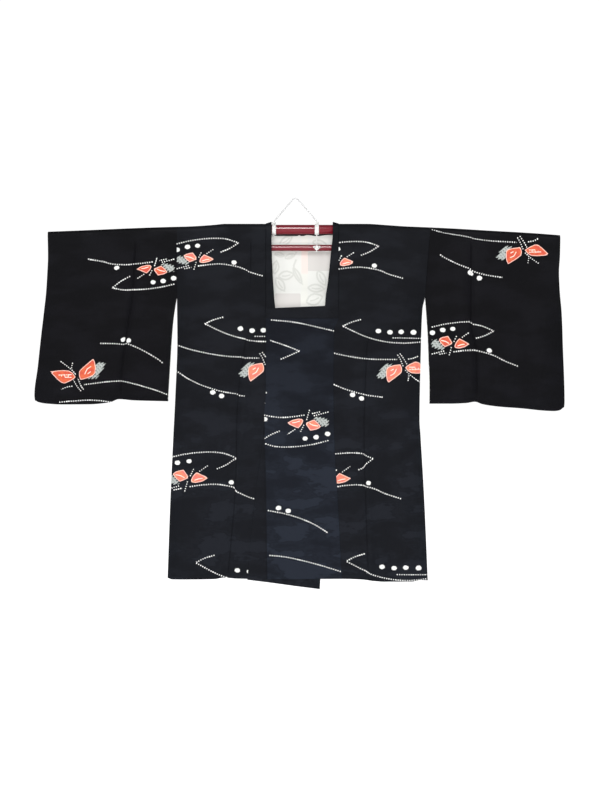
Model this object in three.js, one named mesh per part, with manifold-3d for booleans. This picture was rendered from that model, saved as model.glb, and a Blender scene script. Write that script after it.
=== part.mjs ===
// A michiyuki coat, the square-necked coat worn over a kimono, on a telescopic kimono hanger.
// Millimetres, +Z up. The origin is the point where the hanger's cord hangs, the front faces -Y and
// the wearer's left is at +X. "drop" is a distance below the origin, so z = -drop.

import * as THREE from "three";
import { mergeVertices } from "three/addons/utils/BufferGeometryUtils.js";
import Module from "manifold-3d";

const wasm = await Module();
wasm.setup();

// ---------------------------------------------------------------------------------------------
// Cloth and seams
const clothWall = 1.8;          // shell cloth with its lining
const bandWall = 3.0;           // the neck band is folded double
const liningWall = 1.0;
const seamGap = 0.3;
const seamPinch = 2.15;         // half the depth of two layers sewn together at an edge
const bandRise = bandWall - clothWall;
const overlapLift = 3.6;        // the upper front panel lies this far in front of the under one
const sidePinchWidth = 60;      // the two layers close over this width beside a sewn edge

// Hanger
const midTube = { radius: 11.8, bore: 9.45, halfLength: 160, drop: 75.75 };
const slideTube = { radius: 9.1, inserted: 60, cuffInset: 16 };
const lowerBar = { radius: 7.6, halfLength: 190, drop: 121.75 };
const strap = { across: 53.5, width: 10, thickness: 1.2, clearance: 0.4, tabTop: 56.5, tabDepth: 3 };
const tie = { rightAcross: -68.5, leftAcross: 53.5, cordRadius: 1.4, knot: [8, 2.2, 3.4], knotAhead: 0.8 };
const cord = { radius: 1.75, hookRadius: 7, legAngle: THREE.MathUtils.degToRad(41) };
const tubeClearance = 0.6;      // inside of the cloth to the tube it hangs over

// Garment
const centreBack = 17;          // the coat hangs a little to one side of the cord
const neckSide = { right: -73.5, left: 107.75 };   // outer edge of the neck band
const backNeck = { lowerDrop: 91, topAngle: 45, standOff: 1.7 };
const neckBottom = 269.75;      // top edge of the band across the front
const bandBottom = 298.5;       // its lower edge
const armholeEnd = 247.5;
const cuffSlitEnd = 315;        // the cuff is open above this and sewn below it
const neckPeak = 4;             // the band stands up this much at the sides of the neck
const hemFlare = 5;             // extra half depth of the body at the hem
const backHemDrop = 948;
const liningFoot = 330;         // the lining is built down to here, past the foot of the opening

// Top edge of the hanging cloth, from cuff to cuff.
const shoulderLine = [
  { x: -618, drop: 81.2 }, { x: -548, drop: 78.5 }, { x: -488, drop: 76.0 },
  { x: -414, drop: 72.8 }, { x: -338, drop: 70.0 }, { x: -264, drop: 68.0 },
  { x: -204, drop: 64.2 }, { x: -175, drop: 61.55 }, { x: 0, drop: 61.55 },
  { x: 175, drop: 61.55 }, { x: 229, drop: 64.75 }, { x: 274, drop: 67.75 },
  { x: 349, drop: 71.0 }, { x: 409, drop: 74.0 }, { x: 484, drop: 78.5 },
  { x: 544, drop: 81.8 }, { x: 604, drop: 85.5 }, { x: 661, drop: 90.0 },
];

// Armhole seam, shared by the body and the sleeve.
const armhole = {
  right: [{ drop: 85, x: -296 }, { drop: armholeEnd, x: -296 }],
  left: [{ drop: 85, x: 335.5 }, { drop: armholeEnd, x: 323.8 }],
};

// Side seam of the body below the armhole.
const sideSeam = {
  right: [
    { drop: 247.5, x: -296 }, { drop: 350, x: -295 }, { drop: 490, x: -300 }, { drop: 630, x: -307 },
    { drop: 790, x: -314 }, { drop: 950, x: -319.5 },
  ],
  left: [
    { drop: 247.5, x: 323.8 }, { drop: 272, x: 318 }, { drop: 312, x: 315.5 }, { drop: 392, x: 313.2 },
    { drop: 552, x: 310.2 }, { drop: 592, x: 312.8 }, { drop: 672, x: 317.8 }, { drop: 752, x: 322.2 },
    { drop: 950, x: 331 },
  ],
};

// Seam between the body front and its tate-eri panel, starting at the neck band's outer edge.
const frontSeam = {
  right: [
    { drop: 298.5, x: -73.5 }, { drop: 330, x: -63.5 }, { drop: 450, x: -65 }, { drop: 530, x: -72 },
    { drop: 615, x: -82.5 }, { drop: 755, x: -101.5 }, { drop: 950, x: -120 },
  ],
  left: [
    { drop: 298.5, x: 107.75 }, { drop: 330, x: 96.5 }, { drop: 500, x: 95.3 }, { drop: 637, x: 98.5 },
    { drop: 720, x: 104 }, { drop: 950, x: 116 },
  ],
};

// Free edges of the two overlapping panels.
const overFreeEdge = [
  { drop: 298.5, x: -73.5 }, { drop: 480, x: -73.5 }, { drop: 535, x: -77.2 },
  { drop: 700, x: -73.5 }, { drop: 950, x: -69.8 },
];
const underFreeEdge = [{ drop: 298.5, x: 107 }, { drop: 975, x: 59 }];

// Inner edge of the neck band down the sides of the neck opening.
const neckEdge = {
  right: [
    { drop: 60, x: -59.5 }, { drop: 100, x: -59.5 }, { drop: 167, x: -57.5 },
    { drop: 242, x: -53 }, { drop: 270, x: -50 }, { drop: 298.5, x: -47 },
  ],
  left: [
    { drop: 60, x: 93.5 }, { drop: 92, x: 92.8 }, { drop: 130, x: 89 }, { drop: 205, x: 81.2 },
    { drop: 242, x: 75.8 }, { drop: 270, x: 73.5 }, { drop: 298.5, x: 71.5 },
  ],
};

// Hems of the fronts, as they hang.
const frontHem = [
  { x: -319.5, drop: 946 }, { x: -308, drop: 950 }, { x: -250, drop: 949.8 }, { x: -200, drop: 948.2 },
  { x: -178, drop: 944.5 }, { x: -148, drop: 947 }, { x: -70, drop: 948.5 }, { x: 120, drop: 947.8 },
  { x: 162, drop: 949 }, { x: 200, drop: 953.5 }, { x: 222, drop: 955.2 }, { x: 292, drop: 955.2 },
  { x: 312, drop: 952 }, { x: 331, drop: 953 },
];
const underHem = [{ x: -120, drop: 950 }, { x: 59, drop: 973.3 }];

// Sleeves: the furi, open below the armhole, then the cuff edge and the bottom edge.
const furiEdge = {
  right: [
    { drop: 247.5, x: -296.3 }, { drop: 267, x: -299.8 }, { drop: 312, x: -305.8 }, { drop: 505, x: -318.5 },
  ],
  left: [
    { drop: 247.5, x: 324.1 }, { drop: 267, x: 325.6 }, { drop: 342, x: 330.8 }, { drop: 402, x: 333 },
    { drop: 462, x: 335.3 }, { drop: 510, x: 335.3 },
  ],
};
const cuffEdge = {
  right: [
    { drop: 81, x: -618.5 }, { drop: 142, x: -617.5 }, { drop: 187, x: -619.5 }, { drop: 232, x: -622.5 },
    { drop: 322, x: -634 }, { drop: 412, x: -644 }, { drop: 485, x: -652.3 }, { drop: 508, x: -648.5 },
  ],
  left: [
    { drop: 90, x: 661.5 }, { drop: 142, x: 660.2 }, { drop: 180, x: 657.8 }, { drop: 217, x: 659.2 },
    { drop: 307, x: 666.8 }, { drop: 352, x: 668.2 }, { drop: 502, x: 672.8 }, { drop: 526, x: 669 },
  ],
};
const sleeveBottom = {
  right: [
    { x: -650, drop: 503 }, { x: -643.5, drop: 507 }, { x: -623.5, drop: 511 }, { x: -583.5, drop: 513.3 },
    { x: -513.5, drop: 512.8 }, { x: -463.5, drop: 507.8 }, { x: -441, drop: 500 },
    { x: -403.5, drop: 503 }, { x: -318.5, drop: 505.3 },
  ],
  left: [
    { x: 335, drop: 511.3 }, { x: 386.5, drop: 511.3 }, { x: 426.5, drop: 509.8 }, { x: 449, drop: 506.5 },
    { x: 466.5, drop: 512.3 }, { x: 486.5, drop: 516 }, { x: 516.5, drop: 519.5 }, { x: 556.5, drop: 522.3 },
    { x: 646.5, drop: 529.8 }, { x: 660, drop: 528 }, { x: 671, drop: 520 },
  ],
};

// Folds. "across" is a fraction of the piece from its side edge or armhole, "depth" pushes out or in.
const bodyFolds = {
  right: { across: 0.75, width: 0.05, depth: 2.4, from: 330 },
  left: { across: 0.66, width: 0.05, depth: 2.4, from: 310 },
};
const sleeveFold = { acrossTop: 0.315, acrossBottom: 0.355, width: 0.03, depth: -2.4 };
const hemWaves = [
  { length: 168, depth: 1.9, frontPhase: 1.0, backPhase: 2.6 },
  { length: 96, depth: 0.9, frontPhase: 2.2, backPhase: 0.4 },
];

// ---------------------------------------------------------------------------------------------
// Reading tables and blending

const mix = (a, b, t) => a + (b - a) * t;

function ramp(from, to, value) {
  const t = Math.min(1, Math.max(0, (value - from) / (to - from)));
  return t * t * (3 - 2 * t);
}

// The column "read" at a place along the column "along": smooth, and never past the rows beside it.
function follow(table, along, read, place) {
  const last = table.length - 1;
  if (place <= table[0][along]) return table[0][read];
  if (place >= table[last][along]) return table[last][read];
  const step = (i) => table[i + 1][along] - table[i][along];
  const slope = (i) => (table[i + 1][read] - table[i][read]) / step(i);
  const tangent = (i) => {
    if (i === 0) return slope(0);
    if (i === last) return slope(last - 1);
    const product = slope(i - 1) * slope(i);
    return product <= 0 ? 0 : (2 * product) / (slope(i - 1) + slope(i));
  };
  let i = 0;
  while (place > table[i + 1][along]) i += 1;
  const t = (place - table[i][along]) / step(i);
  const fromStart = (1 + 2 * t) * (1 - t) ** 2 * table[i][read] + t * (1 - t) ** 2 * step(i) * tangent(i);
  const toEnd = t * t * (3 - 2 * t) * table[i + 1][read] + t * t * (t - 1) * step(i) * tangent(i + 1);
  return fromStart + toEnd;
}

const atX = (table, x) => follow(table, "x", "drop", x);
const atDrop = (table, drop) => follow(table, "drop", "x", drop);
const outwardOf = (side) => (side === "right" ? -1 : 1);

const bodyEdge = (side, drop) => atDrop(drop <= armholeEnd ? armhole[side] : sideSeam[side], drop);

function sleeveEdge(side, drop) {
  if (drop > armholeEnd) return atDrop(furiEdge[side], drop);
  return atDrop(armhole[side], drop) + outwardOf(side) * seamGap;
}

// ---------------------------------------------------------------------------------------------
// The hanging form

// Outer radius of the cloth where it lies over the hanger: it narrows from the middle tube to the
// thinner sliding tubes.
function shoulderRadius(x) {
  const thick = midTube.radius + tubeClearance + clothWall;
  const thin = slideTube.radius + tubeClearance + clothWall;
  return mix(thick, thin, ramp(midTube.halfLength + 15, midTube.halfLength + 100, Math.abs(x)));
}

const axisDrop = (x) => atX(shoulderLine, x) + shoulderRadius(x);

// Half depth of the hanging body, from its middle plane to the outer face. facing is -1 in front.
function bodyDepth(x, drop, facing) {
  const down = Math.max(0, (drop - axisDrop(x)) / (backHemDrop - axisDrop(x)));
  const phase = facing < 0 ? "frontPhase" : "backPhase";
  const wave = hemWaves.reduce(
    (sum, w) => sum + w.depth * Math.sin((2 * Math.PI * x) / w.length + w[phase]), 0);
  return shoulderRadius(x) + hemFlare * down + wave * down ** 1.5;
}

// The upper front lies ahead of the under one; the lift fades out over the chest and to the side.
const frontLift = (x, drop) => overlapLift * ramp(110, 250, drop) * (1 - ramp(115, 215, x));

function closed(depth, edgeDepth, distance) {
  const part = Math.sin((Math.PI / 2) * Math.min(1, distance / sidePinchWidth));
  return mix(edgeDepth, depth, part);
}

function bodySideDepth(side, across, x, drop, facing) {
  const fold = bodyFolds[side];
  const ridge = fold.depth * Math.exp(-(((across - fold.across) / fold.width) ** 2));
  let depth = bodyDepth(x, drop, facing) + ridge * ramp(fold.from, fold.from + 120, drop);
  if (side === "left" && facing < 0) depth += frontLift(x, drop);
  const sewn = ramp(165, armholeEnd, drop);
  const edge = mix(shoulderRadius(x), seamPinch, sewn);
  return closed(depth, Math.min(edge, depth), Math.abs(x - bodyEdge(side, drop)));
}

// ---------------------------------------------------------------------------------------------
// Solids from a grid of cloth points

// A wall between an outer and an inner grid of points. keep says which cells are cloth, and ring
// joins the last row of cells to the first.
function clothGeometry({ columns, rows, outer, inner, keep = () => true, ring = false }) {
  const positions = [];
  const index = [];
  const seen = new Map();
  const vertex = (layer, i, j) => {
    const row = ring ? j % rows : j;
    const key = `${layer} ${i} ${row}`;
    if (!seen.has(key)) {
      seen.set(key, positions.length / 3);
      positions.push(...(layer === "outer" ? outer(i, row) : inner(i, row)));
    }
    return seen.get(key);
  };
  const cellRows = ring ? rows : rows - 1;
  const isCloth = (i, j) => {
    const row = ring ? (j + cellRows) % cellRows : j;
    return i >= 0 && i < columns - 1 && row >= 0 && row < cellRows && keep(i, row);
  };
  const quad = (a, b, c, d) => index.push(a, b, c, a, c, d);
  for (let i = 0; i < columns - 1; i += 1) {
    for (let j = 0; j < cellRows; j += 1) {
      if (!isCloth(i, j)) continue;
      const corners = [[i, j], [i + 1, j], [i + 1, j + 1], [i, j + 1]];
      const front = corners.map(([p, q]) => vertex("outer", p, q));
      const back = corners.map(([p, q]) => vertex("inner", p, q));
      quad(...front);
      quad(back[3], back[2], back[1], back[0]);
      const neighbours = [[i, j - 1], [i + 1, j], [i, j + 1], [i - 1, j]];
      neighbours.forEach(([p, q], k) => {
        const next = (k + 1) % 4;
        if (!isCloth(p, q)) quad(front[next], front[k], back[k], back[next]);
      });
    }
  }
  const geometry = new THREE.BufferGeometry();
  geometry.setAttribute("position", new THREE.Float32BufferAttribute(positions, 3));
  geometry.setIndex(signedVolume(positions, index) < 0 ? index.reverse() : index);
  return geometry;
}

function signedVolume(positions, index) {
  const a = new THREE.Vector3();
  const b = new THREE.Vector3();
  const c = new THREE.Vector3();
  let volume = 0;
  for (let i = 0; i < index.length; i += 3) {
    a.fromArray(positions, 3 * index[i]);
    b.fromArray(positions, 3 * index[i + 1]);
    c.fromArray(positions, 3 * index[i + 2]);
    volume += a.dot(b.cross(c)) / 6;
  }
  return volume;
}

// Rows that run over the shoulder: up the front by drop, round the tube by angle, down the back.
// An angle of 180 is level with the tube in front, 90 on top of it and 0 level with it behind.
const shoulderAngles = [180, 157.5, 135, 112.5, 90, 67.5, 45, 22.5, 0];
const bodyLevels = [backNeck.lowerDrop + seamGap, 118, 165, 205, armholeEnd, bandBottom, 330, 390,
  450, 520, 590, 660, 730, 800, 875];

const downFrom = (levels) => levels.map((drop) => ({ drop }));
const overShoulder = shoulderAngles.map((degrees) => ({ degrees }));

function aroundTube(x, degrees, radius) {
  const angle = THREE.MathUtils.degToRad(degrees);
  return [x, Math.cos(angle) * radius, Math.sin(angle) * radius - axisDrop(x)];
}

// ---------------------------------------------------------------------------------------------
// Body lengths

const bodyAcross = {
  right: [0, 0.06, 0.14, 0.28, 0.44, 0.6, 0.69, 0.75, 0.81, 0.91, 1],
  left: [0, 0.06, 0.14, 0.28, 0.42, 0.54, 0.6, 0.66, 0.72, 0.85, 1],
};
const backNeckSteps = 3;

// Columns of the back between the side of the neck and the centre-back seam.
function backColumn(side, step) {
  const outward = outwardOf(side);
  const neck = neckSide[side] + (outward * seamGap) / 2;
  return mix(neck, centreBack + (outward * seamGap) / 2, step / backNeckSteps);
}

function bodyGeometry(side) {
  const outward = outwardOf(side);
  const across = bodyAcross[side];
  const sideColumns = across.length;
  const layer = (facing) => [...downFrom(bodyLevels), { hem: true }].map((row) => ({ ...row, facing }));
  const frontRows = layer(-1).reverse();
  const rows = [...frontRows, ...overShoulder, ...layer(1)];
  const neckRow = frontRows.length + overShoulder.length;

  const point = (i, j, inset) => {
    const row = rows[j];
    const nominal = row.hem ? backHemDrop : (row.drop ?? midTube.drop);
    const sideX = bodyEdge(side, nominal);
    const seamX = row.facing < 0 ? atDrop(frontSeam[side], nominal) : neckSide[side];
    const fraction = across[Math.min(i, sideColumns - 1)];
    let x = mix(sideX, seamX + (outward * seamGap) / 2, fraction);
    if (i >= sideColumns) x = backColumn(side, i - sideColumns + 1);
    if (row.degrees !== undefined) return aroundTube(x, row.degrees, shoulderRadius(x) - inset);
    const drop = row.hem && row.facing < 0 ? atX(frontHem, x) : nominal;
    const depth = bodySideDepth(side, fraction, x, nominal, row.facing) - inset;
    return [x, row.facing * depth, -drop];
  };
  return clothGeometry({
    columns: sideColumns + backNeckSteps,
    rows: rows.length,
    outer: (i, j) => point(i, j, 0),
    inner: (i, j) => point(i, j, clothWall),
    keep: (i, j) => i < sideColumns - 1 || j >= neckRow,
  });
}

// ---------------------------------------------------------------------------------------------
// Overlap panels

const panelLevels = [bandBottom + seamGap, ...bodyLevels.filter((drop) => drop > bandBottom)];
const panelAcross = [0, 0.17, 0.34, 0.5, 0.66, 0.83, 1];

function panelGeometry({ startEdge, endEdge, hem, lift }) {
  const rows = [...downFrom(panelLevels), { hem: true }];
  const point = (i, j, inset) => {
    const nominal = rows[j].hem ? backHemDrop : rows[j].drop;
    const x = mix(startEdge(nominal), endEdge(nominal), panelAcross[i]);
    const drop = rows[j].hem ? atX(hem, x) : nominal;
    return [x, inset - bodyDepth(x, nominal, -1) - lift(x, nominal), -drop];
  };
  return clothGeometry({
    columns: panelAcross.length,
    rows: rows.length,
    outer: (i, j) => point(i, j, 0),
    inner: (i, j) => point(i, j, clothWall),
  });
}

const overPanel = () => panelGeometry({
  startEdge: (drop) => atDrop(overFreeEdge, drop),
  endEdge: (drop) => atDrop(frontSeam.left, drop) - seamGap / 2,
  hem: frontHem,
  lift: frontLift,
});

const underPanel = () => panelGeometry({
  startEdge: (drop) => atDrop(frontSeam.right, drop) + seamGap / 2,
  endEdge: (drop) => atDrop(underFreeEdge, drop),
  hem: underHem,
  lift: () => 0,
});

// ---------------------------------------------------------------------------------------------
// Neck band, in two halves that meet at the centre back

const bandSides = {
  right: { frontEnd: 105, topDrop: neckBottom + 2, lift: () => 0 },
  left: { frontEnd: -73.5, topDrop: neckBottom, lift: frontLift },
};
const bandSteps = 6;

function bandGeometry(side) {
  const outward = outwardOf(side);
  const { frontEnd, topDrop, lift } = bandSides[side];
  const levels = [bandBottom, topDrop, armholeEnd, 205, 165, 118];
  const front = downFrom(levels);
  const rows = [...front, ...overShoulder, { drop: backNeck.lowerDrop, back: true }];
  const backTopRow = front.length + shoulderAngles.indexOf(backNeck.topAngle);
  const outerEdge = neckSide[side] - (outward * seamGap) / 2;
  const centreX = centreBack + (outward * seamGap) / 2;

  // The inner edge of the band stands up where it crosses the shoulder.
  const standUp = (i, row) => {
    const edge = Math.min(1, i / 2);
    if (row.back) return backNeck.standOff * 0.5;
    if (row.degrees === undefined) return neckPeak * 0.5 * edge * (1 - ramp(75, 165, row.drop));
    const peak = neckPeak * Math.sin(THREE.MathUtils.degToRad(Math.max(30, row.degrees))) ** 2;
    const behind = backNeck.standOff * ramp(90, 45, row.degrees);
    if (row.degrees <= backNeck.topAngle) return behind;
    return Math.max(peak * edge, behind);
  };
  const point = (i, j, inset) => {
    const row = rows[j];
    const drop = row.drop ?? midTube.drop;
    const inner = atDrop(neckEdge[side], drop);
    const endX = j < front.length ? frontEnd : centreX;
    const x = i <= 2 ? mix(outerEdge, inner, i / 2) : mix(inner, endX, (i - 2) / bandSteps);
    const rise = bandRise + standUp(i, row) - inset;
    if (row.degrees !== undefined) return aroundTube(x, row.degrees, shoulderRadius(x) + rise);
    const facing = row.back ? 1 : -1;
    const ahead = row.back ? 0 : lift(x, drop);
    return [x, facing * (bodyDepth(x, drop, facing) + ahead + rise), -drop];
  };
  return clothGeometry({
    columns: 3 + bandSteps,
    rows: rows.length,
    outer: (i, j) => point(i, j, 0),
    inner: (i, j) => point(i, j, bandWall),
    keep: (i, j) => i < 2 || j < 1 || j >= backTopRow,
  });
}

// ---------------------------------------------------------------------------------------------
// Lining of the back, below the neck band

function liningGeometry() {
  const half = (side) => Array.from({ length: backNeckSteps }, (_, k) => backColumn(side, k));
  const columns = [...half("right"), centreBack, ...half("left").reverse()];
  const levels = bodyLevels.filter((drop) => drop <= liningFoot);
  const point = (i, j, inset) => {
    const outside = bodyDepth(columns[i], levels[j], 1) - clothWall - seamGap;
    return [columns[i], outside - inset, -levels[j]];
  };
  return clothGeometry({
    columns: columns.length,
    rows: levels.length,
    outer: (i, j) => point(i, j, 0),
    inner: (i, j) => point(i, j, liningWall),
  });
}

// ---------------------------------------------------------------------------------------------
// Sleeves

const sleeveAcross = [0, 0.05, 0.11, 0.18, 0.27, "fold", 0.4, 0.5, 0.65, 0.8, 0.9, 0.96, 0.985, 1];
const sleeveLevels = [0.1, 0.2, 0.3, 0.4, 0.47, 0.57, 0.66, 0.78, 0.9, 1];
const bottomAngles = [-45, -90, -135];
const sleeveHang = { length: 505, bottomDepth: 9, waveDepth: 1.3, waveLength: 190 };

function sleeveDepth(side, across, foldAt, x, drop, facing) {
  const top = axisDrop(x);
  const down = Math.max(0, (drop - top) / (atX(sleeveBottom[side], x) - top));
  const fold = sleeveFold.depth * Math.exp(-(((across - foldAt) / sleeveFold.width) ** 2));
  const wave = sleeveHang.waveDepth * Math.sin((2 * Math.PI * x) / sleeveHang.waveLength + facing);
  const hanging = fold * ramp(0, 0.4, down) + wave * Math.sin(Math.PI * Math.min(1, down));
  const depth = mix(shoulderRadius(x), sleeveHang.bottomDepth, down ** 0.8) + hanging;
  const armhole = ramp(165, armholeEnd, drop) * (1 - ramp(armholeEnd + 8, 340, drop));
  const cuff = ramp(cuffSlitEnd - 50, cuffSlitEnd, drop);
  const fromInner = Math.abs(x - sleeveEdge(side, drop));
  const fromCuff = Math.abs(x - atDrop(cuffEdge[side], drop));
  const sewn = closed(depth, mix(depth, seamPinch, armhole), fromInner);
  return Math.max(seamPinch, closed(sewn, mix(sewn, seamPinch, cuff), fromCuff));
}

function sleeveGeometry(side) {
  const rows = [
    ...overShoulder,
    ...sleeveLevels.map((down) => ({ down, facing: 1 })),
    ...bottomAngles.map((turn) => ({ turn })),
    ...[...sleeveLevels].reverse().map((down) => ({ down, facing: -1 })),
  ];
  const point = (i, j, inset) => {
    const row = rows[j];
    const down = row.turn === undefined ? (row.down ?? 0) : 1;
    const foldAt = mix(sleeveFold.acrossTop, sleeveFold.acrossBottom, down);
    const across = sleeveAcross[i] === "fold" ? foldAt : sleeveAcross[i];
    const place = (drop) => mix(sleeveEdge(side, drop), atDrop(cuffEdge[side], drop), across);
    const nominalTop = axisDrop(place(armholeEnd));
    const nominalBottom = atX(sleeveBottom[side], place(sleeveHang.length)) - sleeveHang.bottomDepth;
    const nominal = mix(nominalTop, nominalBottom, down);
    const x = place(nominal);
    if (row.degrees !== undefined) return aroundTube(x, row.degrees, shoulderRadius(x) - inset);
    const bottom = atX(sleeveBottom[side], x);
    const bottomRadius = sleeveDepth(side, across, foldAt, x, bottom, 1);
    if (row.turn !== undefined) {
      const angle = THREE.MathUtils.degToRad(row.turn);
      const radius = bottomRadius - inset;
      return [x, Math.cos(angle) * radius, Math.sin(angle) * radius - bottom + bottomRadius];
    }
    const drop = mix(axisDrop(x), bottom - bottomRadius, down);
    const depth = down === 1 ? bottomRadius : sleeveDepth(side, across, foldAt, x, drop, row.facing);
    return [x, row.facing * (depth - inset), -drop];
  };
  return clothGeometry({
    columns: sleeveAcross.length,
    rows: rows.length,
    outer: (i, j) => point(i, j, 0),
    inner: (i, j) => point(i, j, clothWall),
    ring: true,
  });
}

// ---------------------------------------------------------------------------------------------
// Hanger

// A solid with round section along a line of points.
function roundBar(points, radius, sides, steps) {
  const section = new THREE.Shape();
  for (let i = 0; i <= sides; i += 1) {
    const angle = (2 * Math.PI * i) / sides;
    const [px, py] = [radius * Math.cos(angle), radius * Math.sin(angle)];
    if (i === 0) section.moveTo(px, py);
    else if (i < sides) section.lineTo(px, py);
    else section.closePath();
  }
  const path = points.length === 2
    ? new THREE.LineCurve3(...points)
    : new THREE.CatmullRomCurve3(points, false, "centripetal");
  return new THREE.ExtrudeGeometry(section, { steps, extrudePath: path, bevelEnabled: false });
}

function hollowTubeGeometry({ radius, bore, halfLength }) {
  const profile = [[bore, -halfLength], [radius, -halfLength], [radius, halfLength], [bore, halfLength]];
  const points = [...profile, profile[0]].map(([r, along]) => new THREE.Vector2(r, along));
  return new THREE.LatheGeometry(points, 24).rotateZ(Math.PI / 2);
}

// A sliding tube follows the cloth's top edge, so it carries it all along.
function slideTubeGeometry(side) {
  const outward = outwardOf(side);
  const start = outward * (midTube.halfLength - slideTube.inserted);
  const end = atDrop(cuffEdge[side], 100) - outward * slideTube.cuffInset;
  const stops = [start, outward * (midTube.halfLength - 5)];
  const first = outward * (midTube.halfLength + 20);
  const count = 10;
  for (let k = 0; k <= count; k += 1) stops.push(mix(first, end, k / count));
  const points = stops.map((x) => new THREE.Vector3(x, 0, -axisDrop(x)));
  return roundBar(points, slideTube.radius, 14, 15);
}

function asManifold(geometry) {
  geometry.deleteAttribute("normal");
  geometry.deleteAttribute("uv");
  const merged = mergeVertices(geometry, 1e-4);
  return new wasm.Manifold(new wasm.Mesh({
    numProp: 3,
    vertProperties: new Float32Array(merged.attributes.position.array),
    triVerts: new Uint32Array(merged.index.array),
  }));
}

function fromManifold(solid) {
  const mesh = solid.getMesh();
  const geometry = new THREE.BufferGeometry();
  geometry.setAttribute("position", new THREE.BufferAttribute(mesh.vertProperties, 3));
  geometry.setIndex(new THREE.BufferAttribute(mesh.triVerts, 1));
  return geometry;
}

// A band round the upper tube with a tab for the cord, and a tie down to a knot on the lower bar.
function strapGeometry(side) {
  const outward = outwardOf(side);
  const across = outward * strap.across;
  const tieX = tie[`${side}Across`];
  const inner = midTube.radius + strap.clearance;
  const outerRadius = inner + strap.thickness;
  const band = hollowTubeGeometry({ radius: outerRadius, bore: inner, halfLength: strap.width / 2 })
    .translate(across, 0, -midTube.drop);

  const tabFoot = midTube.drop - inner - strap.thickness / 2;
  const tab = new THREE.BoxGeometry(strap.width, strap.tabDepth, tabFoot - strap.tabTop)
    .translate(across, 0, -(tabFoot + strap.tabTop) / 2);

  const ringRadius = lowerBar.radius + strap.clearance + tie.cordRadius;
  const ring = new THREE.TorusGeometry(ringRadius, tie.cordRadius, 6, 16)
    .rotateY(Math.PI / 2).translate(tieX, 0, -lowerBar.drop);
  const linkTop = new THREE.Vector3(across, 0, -(midTube.drop + inner + strap.thickness / 2));
  const linkFoot = new THREE.Vector3(tieX, 0, -(lowerBar.drop - ringRadius));
  const link = roundBar([linkTop, linkFoot], tie.cordRadius, 6, 1);
  const knot = new THREE.SphereGeometry(1, 10, 6).scale(...tie.knot)
    .translate(tieX, -ringRadius - tie.knotAhead, -lowerBar.drop);

  const joined = [tab, ring, link, knot].reduce(
    (solid, piece) => solid.add(asManifold(piece)), asManifold(band));
  return fromManifold(joined);
}

// Two straight legs over the hook that holds the hanger.
function cordGeometry() {
  const bend = cord.hookRadius + cord.radius;
  const centreDrop = cord.hookRadius;
  const side = new THREE.Vector3(Math.cos(cord.legAngle), 0, Math.sin(cord.legAngle));
  const along = new THREE.Vector3(Math.sin(cord.legAngle), 0, -Math.cos(cord.legAngle));
  const tangent = side.clone().multiplyScalar(bend).add(new THREE.Vector3(0, 0, -centreDrop));
  const endDrop = strap.tabTop - seamGap - cord.radius * Math.sin(cord.legAngle);
  const legLength = (endDrop + tangent.z) / Math.cos(cord.legAngle);
  const leg = [0, 0.25, 0.5, 0.75, 1]
    .map((part) => tangent.clone().addScaledVector(along, part * legLength)).reverse();
  const halfTurn = Math.PI / 2 - cord.legAngle;
  const arc = [-0.6, -0.2, 0.2, 0.6].map((part) => {
    const angle = Math.PI / 2 + part * halfTurn;
    return new THREE.Vector3(bend * Math.cos(angle), 0, bend * Math.sin(angle) - centreDrop);
  });
  const mirrored = leg.map((p) => new THREE.Vector3(-p.x, 0, p.z)).reverse();
  return roundBar([...leg, ...arc, ...mirrored], cord.radius, 8, 28);
}

// ---------------------------------------------------------------------------------------------
// The coat on its hanger

const materials = {
  silk: new THREE.MeshStandardMaterial({ color: 0x1b1d24, roughness: 0.7, metalness: 0 }),
  lining: new THREE.MeshStandardMaterial({ color: 0xefece6, roughness: 0.8, metalness: 0 }),
  tube: new THREE.MeshStandardMaterial({ color: 0x7d1f36, roughness: 0.3, metalness: 0 }),
  strap: new THREE.MeshStandardMaterial({ color: 0xf3f2ef, roughness: 0.8, metalness: 0 }),
};

const group = new THREE.Group();

function add(name, geometry, material) {
  geometry.deleteAttribute("normal");
  geometry.deleteAttribute("uv");
  const mesh = new THREE.Mesh(geometry, material);
  mesh.name = name;
  group.add(mesh);
}

for (const side of ["right", "left"]) {
  add(`body_${side}`, bodyGeometry(side), materials.silk);
  add(`sleeve_${side}`, sleeveGeometry(side), materials.silk);
  add(`koeri_${side}`, bandGeometry(side), materials.silk);
  add(`hanger_tube_${side}`, slideTubeGeometry(side), materials.tube);
  add(`hanger_strap_${side}`, strapGeometry(side), materials.strap);
}
add("tate_eri_over", overPanel(), materials.silk);
add("tate_eri_under", underPanel(), materials.silk);
add("back_lining", liningGeometry(), materials.lining);
add("hanger_tube_mid", hollowTubeGeometry(midTube).translate(0, 0, -midTube.drop), materials.tube);
add("hanger_lower_bar", roundBar(
  [new THREE.Vector3(-lowerBar.halfLength, 0, -lowerBar.drop),
    new THREE.Vector3(lowerBar.halfLength, 0, -lowerBar.drop)],
  lowerBar.radius, 20, 1), materials.tube);
add("hanger_cord", cordGeometry(), materials.strap);

export default group;
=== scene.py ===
"""A michiyuki coat, the square-necked coat worn over a kimono, on a telescopic kimono hanger.

Forms and tables are in millimetres, as in the part's source: x towards the wearer's left and
drop below the point where the hanger hangs. Depths run from the hanger's middle plane. The
meshes are made in metres.
"""
import math

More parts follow.
